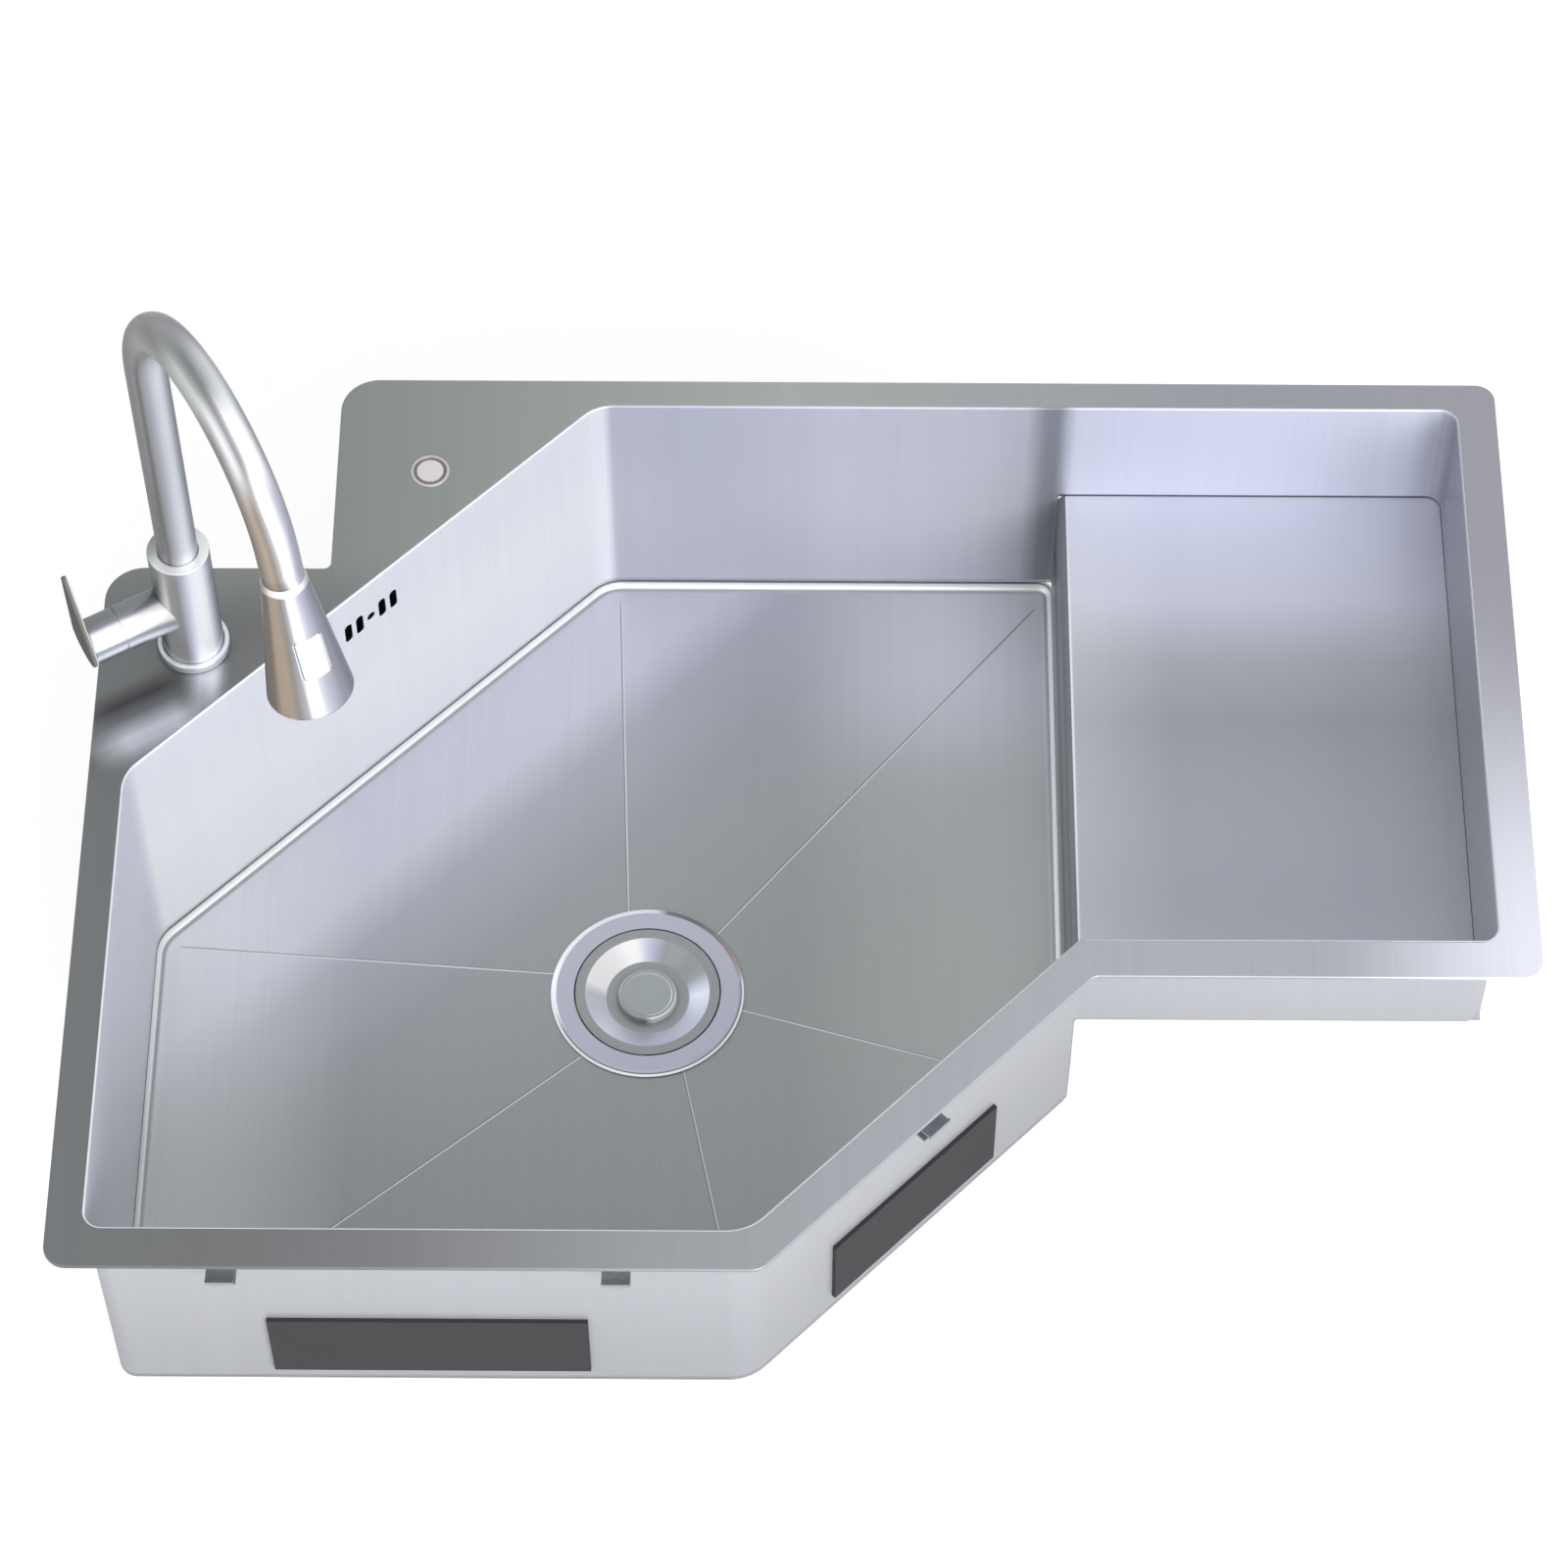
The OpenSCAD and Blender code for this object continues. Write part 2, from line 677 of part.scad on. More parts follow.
module waste_gasket() {
    color(rubber_colour) ring(body_flange_r, seal_in_r, body_top, seat_z - sheet_t);
}

// Moulded waste body: clamping flange, cup, cone, outlet tail and overflow port
module waste_body() {
    color(plastic_colour) difference() {
        union() {
            rotate_extrude() polygon([[0, body_floor - cone_h], [tail_r, body_floor - cone_h],
                [body_r, body_floor], [body_r, body_top - body_flange_t], [body_flange_r, body_top - body_flange_t],
                [body_flange_r, body_top], [0, body_top]]);
            translate([0, 0, tail_z]) cylinder(r = tail_r, h = tail_len + cone_h);
            to_overflow() translate([body_r - body_wall, 0, run_z]) rotate([0, 90, 0])
                cylinder(r = pipe_r, h = branch_len + body_wall);
        }
        rotate_extrude() polygon([[0, body_floor - cone_h], [tail_r - tail_wall, body_floor - cone_h],
            [body_r - body_wall, body_floor], [body_r - body_wall, neck_end - gasket_t],
            [body_neck_r, neck_end], [body_neck_r, body_top - cut], [waste_hole_r, body_top - cut],
            [waste_hole_r, body_top + cut], [0, body_top + cut]]);
        translate([0, 0, tail_z - cut]) cylinder(r = tail_r - tail_wall, h = tail_len + cone_h + 2 * cut);
        to_overflow() translate([body_r - 4 * body_wall, 0, run_z]) rotate([0, 90, 0])
            cylinder(r = pipe_r - pipe_wall, h = branch_len + 5 * body_wall);
    }
}

// Strainer basket: rim on the flange's ledge, perforated cup and a guide post for the lid
post_r = 6;
stem_r = 3;
hole_r = 2;
hole_rings = 4;
hole_first = 12;
hole_pitch = 7;
holes_per_ring = 6;
basket_floor = ledge_z - basket_depth;
post_gap = 8;
post_top = flange_top - lid_dish - post_gap;
module strainer_basket() {
    color(bright_colour) difference() {
        union() {
            rotate_extrude() polygon([[0, basket_floor], [basket_r, basket_floor], [basket_r, ledge_z],
                [lid_r, ledge_z], [lid_r, ledge_z + basket_t], [basket_r - basket_t, ledge_z + basket_t],
                [basket_r - basket_t, basket_floor + basket_t], [0, basket_floor + basket_t]]);
            translate([0, 0, basket_floor]) cylinder(r = post_r, h = post_top - basket_floor);
        }
        translate([0, 0, basket_floor - cut]) cylinder(r = stem_r + running, h = post_top - basket_floor + 2 * cut);
        for (k = [0 : hole_rings - 1]) for (j = [0 : holes_per_ring * (k + 1) - 1])
            rotate([0, 0, 360 * j / (holes_per_ring * (k + 1))])
                translate([hole_first + k * hole_pitch, 0, basket_floor - cut])
                    cylinder(r = hole_r, h = basket_t + 2 * cut);
    }
}

// Lid: flat rim, polished cone and flat dish, on its rubber seal
lid_t = 1.2;
lid_top = flange_top;
dish_z = lid_top - lid_dish;
lid_seal_gap = 0.5;
lid_seal_w = 5;
lid_seal_r = basket_r + lid_seal_gap + lid_seal_w;
module lid_seal() {
    color(rubber_colour) ring(lid_seal_r, basket_r + lid_seal_gap, ledge_z + basket_t, lid_top - lid_t);
}

module waste_lid() {
    color(bright_colour) rotate_extrude() polygon([[stem_r, dish_z], [lid_floor_r, dish_z], [lid_cone_r, lid_top],
        [lid_r, lid_top], [lid_r, lid_top - lid_t], [lid_cone_r + lid_t / 2, lid_top - lid_t],
        [lid_floor_r + lid_t / 2, dish_z - lid_t], [stem_r, dish_z - lid_t]]);
}

// Knob with a rounded edge and the stem that guides the lid in the basket's post
knob_edge = 1.6;
stem_rise = 6;
stem_end = basket_floor + stem_rise;
module lid_knob() {
    color(bright_colour) {
        translate([0, 0, dish_z]) rotate_extrude() {
            square([knob_r - knob_edge, knob_h]);
            square([knob_r, knob_h - knob_edge]);
            translate([knob_r - knob_edge, knob_h - knob_edge]) circle(r = knob_edge);
        }
        translate([0, 0, stem_end]) cylinder(r = stem_r, h = dish_z - stem_end + knob_h / 2);
    }
}

// Tap base and fixings
base_gasket_t = 1;
base_z = deck_top + base_gasket_t;
ring_step = 1.5;
body_z = base_z + ring_step;
shank_r = 16;
shank_wall = 4;
shank_len = 52;
body_bore_r = 15.8;
washer_r = 27;
washer_t = 3;
clamp_t = 1.5;
nut_across = 25;
fixing_nut_h = 10;
thread_gap = 0.4;

base_gasket_inset = 1;
base_gasket_gap = 0.5;
module base_gasket() {
    color(rubber_colour) at_tap() ring(base_ring_r - base_gasket_inset, tap_hole_r + base_gasket_gap, deck_top, base_z);
}

// Escutcheon ring with a rounded shoulder; the body stands in its recess
ring_round = 2;
module base_ring() {
    color(bright_colour) at_tap() translate([0, 0, base_z]) rotate_extrude() difference() {
        union() {
            translate([tap_hole_r, 0]) square([base_ring_r - tap_hole_r, base_ring_h - ring_round]);
            translate([tap_hole_r, 0]) square([base_ring_r - ring_round - tap_hole_r, base_ring_h]);
            translate([base_ring_r - ring_round, base_ring_h - ring_round]) circle(r = ring_round);
        }
        translate([0, ring_step]) square([tap_body_r + gap, base_ring_h]);
    }
}

valve_z = deck_top + valve_h;
body_top_z = deck_top + tap_body_h;
cap_t = 2;
cap_edge = 0.7;
bush_len = 28;
bush_wall = 2.3;
bush_r = spout_r + running + bush_wall;
valve_bore_r = 14.2;
mouth_r = 15.5;
mouth_depth = 6.5;
cartridge_start = 17;
lower_cavity = 24;
below_bush = 8;
upper_cavity_z = body_top_z - bush_len - below_bush;
// Four passages around the tap axis, in the valve's frame: cold, hot, mixed and the spray's hose
port_r = 4;
port_ring_r = 7.5;
port_offset = port_ring_r / sqrt(2);
gallery_r = 2.5;
mixed_rise = 9;

// Moves to the valve axis: X outwards along the housing
module at_valve() {
    at_tap() translate([0, 0, valve_z]) rotate([0, 0, valve_az]) children();
}

// A ring around the valve axis, from x0 to x1
module valve_ring(r_out, r_in, x0, x1) {
    at_valve() rotate([0, 90, 0]) ring(r_out, r_in, x0, x1);
}

// Tap body: one casting with the side housing for the valve
module tap_body() {
    color(bright_colour) difference() {
        union() {
            at_tap() translate([0, 0, body_z]) cylinder(r = tap_body_r, h = body_top_z - body_z - cap_t);
            at_valve() rotate([0, 90, 0]) cylinder(r = valve_r, h = valve_seam);
        }
        at_tap() translate([0, 0, upper_cavity_z]) cylinder(r = bush_r, h = tap_body_h);
        at_tap() translate([0, 0, body_z - cut]) cylinder(r = shank_r, h = lower_cavity + cut);
        at_valve() translate([cartridge_start, 0, 0]) rotate([0, 90, 0])
            cylinder(r = valve_bore_r, h = valve_seam);
        at_valve() translate([valve_seam - mouth_depth, 0, 0]) rotate([0, 90, 0])
            cylinder(r = mouth_r, h = valve_seam);
        at_valve() body_galleries();
    }
}

// Cap that closes the body's top around the spout and holds its bush down
module body_cap() {
    color(bright_colour) at_tap() translate([0, 0, body_top_z - cap_t]) rotate_extrude() difference() {
        union() {
            square([tap_body_r, cap_t - cap_edge]);
            square([tap_body_r - cap_edge, cap_t]);
            translate([tap_body_r - cap_edge, cap_t - cap_edge]) circle(r = cap_edge);
        }
        translate([0, -cut]) square([spout_r + gap, cap_t + 2 * cut]);
    }
}

// Passages: hot and cold up to the valve, mixed water back down, and the hose's way to the spout
module body_galleries() {
    low = body_z + lower_cavity - cut - valve_z;
    for (side = [-1, 1]) translate([port_offset, side * port_offset, 0]) {
        translate([0, 0, low]) cylinder(r = gallery_r, h = gallery_r - low);
        rotate([0, 90, 0]) cylinder(r = gallery_r, h = cartridge_start - port_offset + cut);
    }
    translate([-port_offset, port_offset, low]) cylinder(r = gallery_r, h = mixed_rise + gallery_r - low);
    translate([-port_offset, port_offset, mixed_rise])
        rotate([0, 90, atan2(-port_offset, cartridge_start + port_offset)])
            cylinder(r = gallery_r, h = norm([cartridge_start + port_offset, port_offset]) + cut);
    translate([-port_offset, -port_offset, low]) cylinder(r = port_r, h = upper_cavity_z - valve_z - low + cut);
}

module tap_shank() {
    color(brass_colour) at_tap() ring(shank_r, shank_r - shank_wall, base_z - shank_len, body_z + lower_cavity / 2);
}

module deck_washer() {
    color(rubber_colour) at_tap() ring(washer_r, shank_r + thread_gap, -tap_pad_t - washer_t, -tap_pad_t);
}

module clamp_washer() {
    color(steel_colour) at_tap()
        ring(washer_r, shank_r + thread_gap, -tap_pad_t - washer_t - clamp_t, -tap_pad_t - washer_t);
}

module fixing_nut() {
    nut_top = -tap_pad_t - washer_t - clamp_t;
    color(brass_colour) at_tap() translate([0, 0, nut_top - fixing_nut_h]) difference() {
        cylinder(r = nut_across, h = fixing_nut_h, $fn = 6);
        translate([0, 0, -cut]) cylinder(r = shank_r + running, h = fixing_nut_h + 2 * cut);
    }
}

// Port block above the shank: threaded ports for hot, cold and mixed water, and a hole for the hose
port_len = 9;
block_z = body_z + lower_cavity / 2;
module port_block() {
    color(brass_colour) at_tap() translate([0, 0, block_z]) rotate([0, 0, valve_az]) difference() {
        cylinder(r = shank_r, h = port_len);
        for (x = [-1, 1]) for (y = [-1, 1]) translate([x * port_offset, y * port_offset, -cut])
            cylinder(r = port_r, h = port_len + 2 * cut);
    }
}

// Plate on the port block that narrows the three water ways, with the hose's hole as wide as below
gallery_plate_t = lower_cavity / 2 - port_len;
module gallery_plate() {
    color(brass_colour) at_tap() translate([0, 0, block_z + port_len]) rotate([0, 0, valve_az]) difference() {
        cylinder(r = shank_r, h = gallery_plate_t);
        for (x = [-1, 1]) for (y = [-1, 1]) translate([x * port_offset, y * port_offset, -cut])
            cylinder(r = x + y == -2 ? port_r : gallery_r, h = gallery_plate_t + 2 * cut);
    }
}

// Spout
spout_foot_z = body_top_z - bush_len;
riser_z = deck_top + riser_h;
arch_end_x = arch_r * (1 - cos(arch_sweep));
arch_end_z = riser_z + arch_r * sin(arch_sweep);
end_x = arch_end_x + spout_end * sin(arch_sweep);
end_z = arch_end_z + spout_end * cos(arch_sweep);
end_lean = 180 - arch_sweep;

// Moves to the tap axis with X in the plane of the spout
module at_spout() {
    at_tap() rotate([0, 0, spout_az]) children();
}

// Moves to the spout's end: -Z runs down along the spray head
module at_head() {
    at_spout() translate([end_x, 0, end_z]) rotate([0, -end_lean, 0]) children();
}

module spout_bush() {
    color(plastic_colour) at_tap() ring(bush_r, spout_r + running, spout_foot_z, body_top_z - cap_t);
}

// The spout's run at one radius: riser and arch
module spout_run(r, extra) {
    translate([0, 0, spout_foot_z - circlip_drop - extra])
        cylinder(r = r, h = riser_z - spout_foot_z + circlip_drop + extra);
    translate([arch_r, 0, riser_z]) rotate([-90, 0, 0]) rotate([0, 0, 180])
        rotate_extrude(angle = arch_sweep) translate([arch_r, 0]) circle(r = r);
}

module spout_tube() {
    color(bright_colour) at_spout() difference() {
        spout_run(spout_r, 0);
        spout_run(spout_r - spout_wall, cut);
    }
}

// Straight tip, soldered to the arch
module spout_tip() {
    color(bright_colour) at_head() ring(spout_r, spout_r - spout_wall, 0, spout_end);
}

// Circlip that keeps the spout in the body
circlip_drop = 5;
circlip_t = 2;
circlip_gap = 1;
module spout_circlip() {
    color(steel_colour) at_tap() ring(bush_r - gap, spout_r, spout_foot_z - circlip_gap - circlip_t,
        spout_foot_z - circlip_gap);
}

// Dock ring on the spout's end, flared to the head's radius
dock_len = 5;
dock_edge = 1.5;
module dock_ring() {
    color(bright_colour) at_head() rotate_extrude() polygon([[spout_r, 0], [head_top_r, 0], [head_top_r, dock_edge],
        [spout_r + dock_edge / 3, dock_len], [spout_r, dock_len]]);
}

// Guide inside the spout's end, in which the hose nipple slides
guide_len = 15;
module hose_guide() {
    color(plastic_colour) at_head() ring(spout_r - spout_wall, nipple_r + running, 0, guide_len);
}

// Spray head
mouth_round = 2;
face_t = 3;
face_inset = 1;
neck_in = 4;
face_seat = 0.5;
button_pocket = 8;
button_gap = 0.3;
button_proud = 0.7;
function head_r(s) = head_top_r + (head_mouth_r - head_top_r) * s / head_len;
cone_slope = atan2(head_mouth_r - head_top_r, head_len);

// Box that stands on the cone's side facing outwards, around the middle of the button
module button_box(w, len, low, high) {
    mid = button_start + button_len / 2;
    translate([head_r(mid), 0, -mid]) rotate([0, -cone_slope, 0]) translate([low, -w / 2, -len / 2])
        cube([high - low, w, len]);
}

module head_solid(inset) {
    rotate_extrude() polygon([[0, 0], [head_top_r - inset, 0], [head_mouth_r - inset, -head_len + mouth_round],
        [head_mouth_r - inset - mouth_round * 0.3, -head_len + mouth_round * 0.3],
        [head_mouth_r - inset - mouth_round, -head_len], [0, -head_len]]);
}

module spray_shell() {
    bore_r = head_mouth_r - head_wall - mouth_round / 2;
    step_z = -head_len + face_inset + face_t;
    color(bright_colour) at_head() translate([0, 0, -gap]) difference() {
        head_solid(0);
        rotate_extrude() polygon([[0, -neck_in], [head_top_r - head_wall, -neck_in], [bore_r - face_seat, step_z],
            [bore_r, step_z], [bore_r, -head_len - cut], [0, -head_len - cut]]);
        translate([0, 0, -neck_in - cut]) cylinder(r = nipple_r, h = neck_in + 2 * cut);
        button_box(button_w + 2 * button_gap, button_len + 2 * button_gap, -button_pocket, button_pocket);
    }
}

// Waterway from the nipple to the face
core_r = 9;
core_bore_r = 4;
module spray_core() {
    color(plastic_colour) at_head() translate([0, 0, -gap]) {
        ring(core_r, nipple_r, -nipple_down, -neck_in);
        ring(core_r, core_bore_r, -head_len + face_inset + face_t, -nipple_down);
    }
}

// Button: a pad that follows the cone, with lips behind the shell and a plunger towards the waterway
button_back = head_wall + button_travel + 4 * gap;
lip = 1.2;
lip_t = 1;
plunger_r = 3;
plunger_gap = 1;
module spray_button() {
    mid = button_start + button_len / 2;
    reach = head_r(mid) - core_r - button_travel - plunger_gap;
    color(bright_colour) at_head() translate([0, 0, -gap]) {
        intersection() {
            button_box(button_w, button_len, -button_back, button_pocket);
            rotate_extrude() polygon([[0, 0], [head_top_r + button_proud, 0],
                [head_mouth_r + button_proud, -head_len], [0, -head_len]]);
        }
        button_box(button_w / 2, button_len + 2 * lip, -button_back, -button_back + lip_t);
        translate([head_r(mid), 0, -mid]) rotate([0, -cone_slope, 0]) translate([-reach, 0, 0])
            rotate([0, 90, 0]) cylinder(r = plunger_r, h = reach - button_back + lip_t);
    }
}
// Nozzle face with a ring of rubber nozzles around the aerator's recess
nozzle_r = 1;
nozzle_h = 1;
nozzle_count = 18;
aerator_r = 8;
aerator_depth = 1.5;
aerator_t = 1.2;
face_r = head_mouth_r - head_wall - mouth_round / 2;
module spray_face() {
    color(plastic_colour) at_head() translate([0, 0, -gap - head_len + face_inset]) difference() {
        union() {
            cylinder(r = face_r, h = face_t);
            for (k = [0 : nozzle_count - 1]) rotate([0, 0, 360 * k / nozzle_count])
                translate([(face_r + aerator_r) / 2, 0, -nozzle_h]) cylinder(r = nozzle_r, h = nozzle_h + face_t / 2);
        }
        translate([0, 0, -cut]) cylinder(r = aerator_r, h = aerator_depth + cut);
        cylinder(r = core_bore_r, h = face_t + cut);
    }
}

module aerator() {
    color(plastic_colour) at_head() translate([0, 0, -gap - head_len + face_inset + aerator_depth - aerator_t])
        cylinder(r = aerator_r, h = aerator_t);
}

// Hose nipple: fixed in the head's top, it slides in the spout's guide
nipple_r = 7;
nipple_bore_r = 4;
nipple_up = 50;
nipple_down = 10;
module hose_nipple() {
    color(brass_colour) at_head() translate([0, 0, -gap]) ring(nipple_r, nipple_bore_r, -nipple_down, nipple_up);
}

// Valve: a ported base, a housing with the mixing chamber, and the nut that holds them
cartridge_r = valve_bore_r - gap;
cartridge_split = 22;
cartridge_end = 37;
chamber_end = 25.5;
chamber_r = 11;
valve_nut_end = 41.5;
disc_r = 10.4;
disc_start = 23;
disc_t = 1.5;
spindle_r = 4.5;
tilt_max = 15;
pin_x = valve_seam + 2 * gap;
spindle_past_pin = 5;
spindle_end = pin_x + spindle_past_pin;
rim_inside = 1.5;
hub_start = valve_seam - rim_inside;
hub_cavity_r = 11;
cavity_past_pin = 10;
hub_cavity_end = pin_x + cavity_past_pin;
pin_r = 1.6;
pin_inset = 0.8;
pin_len = 2 * (ball_r - pin_inset);

module cartridge_base() {
    color(plastic_colour) difference() {
        at_valve() translate([cartridge_start, 0, 0]) rotate([0, 90, 0])
            cylinder(r = cartridge_r, h = cartridge_split - cartridge_start);
        at_valve() for (p = [[port_offset, 0], [-port_offset, 0], [0, mixed_rise]])
            translate([cartridge_start - cut, p.x, p.y]) rotate([0, 90, 0])
                cylinder(r = gallery_r, h = cartridge_split - cartridge_start + 2 * cut);
    }
}

module cartridge() {
    color(plastic_colour) {
        valve_ring(cartridge_r, chamber_r, cartridge_split, chamber_end);
        valve_ring(cartridge_r, spindle_r + running, chamber_end, cartridge_end);
    }
}

module cartridge_nut() {
    color(brass_colour) valve_ring(valve_bore_r, spindle_r + gap, cartridge_end, valve_nut_end);
}

// Spindle with its ceramic disc and the cross hole that holds the lever's pin
module valve_spindle() {
    color(brass_colour) at_valve() difference() {
        union() {
            translate([disc_start, 0, 0]) rotate([0, 90, 0]) cylinder(r = disc_r, h = disc_t);
            translate([disc_start, 0, 0]) rotate([0, 90, 0]) cylinder(r = spindle_r, h = spindle_end - disc_start);
        }
        translate([pin_x, -spindle_r - cut, 0]) rotate([-90, 0, 0]) cylinder(r = pin_r, h = 2 * spindle_r + 2 * cut);
    }
}

// Sprung pin across the spindle, on which the lever tilts
module lever_pin() {
    color(steel_colour) at_valve() translate([pin_x, -pin_len / 2, 0]) rotate([-90, 0, 0])
        cylinder(r = pin_r, h = pin_len);
}

// Lever: a ball inside the housing's mouth, a hub relieved below for the tilt, and a leaf-shaped blade
hub_end = valve_seam + hub_len;
cover_r = valve_r - gap / 2;
blade_round = 0.7;
module lever() {
    relief = pin_x - valve_seam - gap / 2;
    color(bright_colour) at_valve() difference() {
        union() {
            intersection() {
                translate([pin_x, 0, 0]) sphere(r = ball_r);
                translate([hub_start, 0, 0]) rotate([0, 90, 0]) cylinder(r = valve_r, h = hub_len);
            }
            difference() {
                translate([valve_seam + gap, 0, 0]) rotate([0, 90, 0])
                    cylinder(r = cover_r, h = hub_len - gap + blade_t / 2);
                translate([pin_x, 0, 0]) rotate([0, -tilt_max, 0])
                    translate([-relief - hub_len, -2 * valve_r, -2 * valve_r])
                        cube([hub_len, 4 * valve_r, 4 * valve_r]);
            }
            translate([hub_end, 0, 0]) rotate([0, blade_lean, 0]) blade();
        }
        translate([hub_start - cut, 0, 0]) rotate([0, 90, 0])
            cylinder(r = hub_cavity_r, h = hub_cavity_end - hub_start + cut);
        translate([pin_x, -pin_len / 2 - gap, 0]) rotate([-90, 0, 0])
            cylinder(r = pin_r + running, h = pin_len + 2 * gap);
    }
}

// Leaf outline in the YZ plane: a round around the hub that tapers to the tip
module leaf(inset) {
    big = blade_r - inset;
    small = blade_tip_r - inset;
    rise = blade_h - blade_tip_r;
    a = asin((big - small) / rise);
    rotate([0, 0, 90]) {
        circle(r = big);
        translate([rise, 0]) circle(r = small);
        polygon([[big * sin(a), big * cos(a)], [big * sin(a), -big * cos(a)],
            [rise + small * sin(a), -small * cos(a)], [rise + small * sin(a), small * cos(a)]]);
    }
}

module blade() {
    rotate([90, 0, 90]) {
        linear_extrude(blade_t) leaf(blade_round);
        translate([0, 0, blade_round]) linear_extrude(blade_t - 2 * blade_round) leaf(0);
    }
}

deck_plate();
front_wall();
slanted_front_wall();
shelf_front_wall();
right_wall();
back_wall();
slanted_rear_wall();
left_wall();
shelf_panel();
bowl_floor();
deck_badge();
wall_pads();
shelf_pad();
clip_brackets();
clip_jaws();
clip_screws();
overflow_gasket();
overflow_housing();
overflow_studs();
overflow_nuts();
overflow_pipe();
overflow_clips();
flange_seal();
waste_flange();
waste_gasket();
waste_body();
strainer_basket();
lid_seal();
waste_lid();
lid_knob();
base_gasket();
base_ring();
tap_body();
body_cap();
tap_shank();
deck_washer();
clamp_washer();
fixing_nut();
port_block();
gallery_plate();
spout_bush();
spout_tube();
spout_tip();
spout_circlip();
dock_ring();
hose_guide();
spray_shell();
spray_core();
spray_face();
aerator();
spray_button();
hose_nipple();
cartridge_base();
cartridge();
cartridge_nut();
valve_spindle();
lever_pin();
lever();
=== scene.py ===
import json
import math

import bmesh
import bpy
import numpy as np
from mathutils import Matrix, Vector

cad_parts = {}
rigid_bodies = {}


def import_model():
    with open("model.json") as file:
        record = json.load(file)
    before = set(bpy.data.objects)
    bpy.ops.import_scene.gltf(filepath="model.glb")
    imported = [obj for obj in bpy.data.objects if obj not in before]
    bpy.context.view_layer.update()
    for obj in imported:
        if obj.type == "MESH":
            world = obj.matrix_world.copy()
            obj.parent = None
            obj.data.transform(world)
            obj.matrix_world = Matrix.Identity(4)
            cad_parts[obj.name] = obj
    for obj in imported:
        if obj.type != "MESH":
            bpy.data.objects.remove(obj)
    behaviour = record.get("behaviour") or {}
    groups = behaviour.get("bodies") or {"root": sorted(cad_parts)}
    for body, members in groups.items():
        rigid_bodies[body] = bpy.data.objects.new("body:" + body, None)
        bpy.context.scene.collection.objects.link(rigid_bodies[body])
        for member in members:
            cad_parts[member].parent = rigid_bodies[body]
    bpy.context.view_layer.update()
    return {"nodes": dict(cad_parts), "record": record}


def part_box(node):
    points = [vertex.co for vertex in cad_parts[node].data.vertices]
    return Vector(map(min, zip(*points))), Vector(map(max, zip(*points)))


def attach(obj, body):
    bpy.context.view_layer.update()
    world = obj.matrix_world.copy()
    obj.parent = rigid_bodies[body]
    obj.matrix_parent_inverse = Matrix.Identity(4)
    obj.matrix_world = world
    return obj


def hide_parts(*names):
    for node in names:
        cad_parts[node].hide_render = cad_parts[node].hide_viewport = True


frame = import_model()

nodes = frame["nodes"]
print("frame loaded:", len(nodes), "nodes")

mm = 0.001
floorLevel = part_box("waste_body")[0].z - 0.001


# A polyline whose corners are arcs: each arc starts and ends radius * tan(half the turn) from its corner.
# With support, one more point stands that far along the straight on either side of each arc.
def filletPath(points, radii, closed=True, steps=8, support=0.0):
    pts = np.asarray(points, float)
    radii = np.broadcast_to(np.asarray(radii, float), (len(pts),))
    out = []
    for i in range(len(pts)):
        if not closed and i in (0, len(pts) - 1) or radii[i] <= 0:
            out.append(pts[i])
            continue
        a, b = pts[i] - pts[i - 1], pts[(i + 1) % len(pts)] - pts[i]
        la, lb = np.linalg.norm(a), np.linalg.norm(b)
        a, b = a / la, b / lb
        turn = math.atan2(a[0] * b[1] - a[1] * b[0], a @ b)
        back = radii[i] * math.tan(abs(turn) / 2)
        side = math.copysign(1, turn)
        centre = pts[i] - a * back + side * radii[i] * np.array([-a[1], a[0]])
        start = pts[i] - a * back - centre
        angle = np.linspace(0, turn, steps + 1)[:, None]
        arc = centre + start * np.cos(angle) + np.array([-start[1], start[0]]) * np.sin(angle)
        if support:
            out.append(arc[0] - a * min(support, max(la - back, 0) / 3))
        out.extend(arc)
        if support:
            out.append(arc[-1] + b * min(support, max(lb - back, 0) / 3))
    return np.array(out)


# The same corners moved outwards: each one goes along both its edges' normals by the same distance.
def grownPath(points, grow):
    pts = np.asarray(points, float)
    e = np.roll(pts, -1, 0) - pts
    e /= np.linalg.norm(e, axis=1)[:, None]
    n = np.stack([e[:, 1], -e[:, 0]], 1)
    before = np.roll(n, 1, 0)
    return pts + grow * (before + n) / (1 + (before * n).sum(1))[:, None]


# Which way an outline turns at each corner: the sign of the cross of the edges at it.
def turnSigns(points):
    pts = np.asarray(points, float)
    e = np.roll(pts, -1, 0) - pts
    before = np.roll(e, 1, 0)
    return np.sign(before[:, 0] * e[:, 1] - before[:, 1] * e[:, 0])


# A rounded outline grown outwards: outer corners gain the growth in radius, inner corners lose it.
def outlineAt(points, radii, grow, steps=10, support=0.6):
    r = np.maximum(np.asarray(radii, float) + grow * turnSigns(points), 0.25)
    return filletPath(grownPath(points, grow), r, True, steps, support)


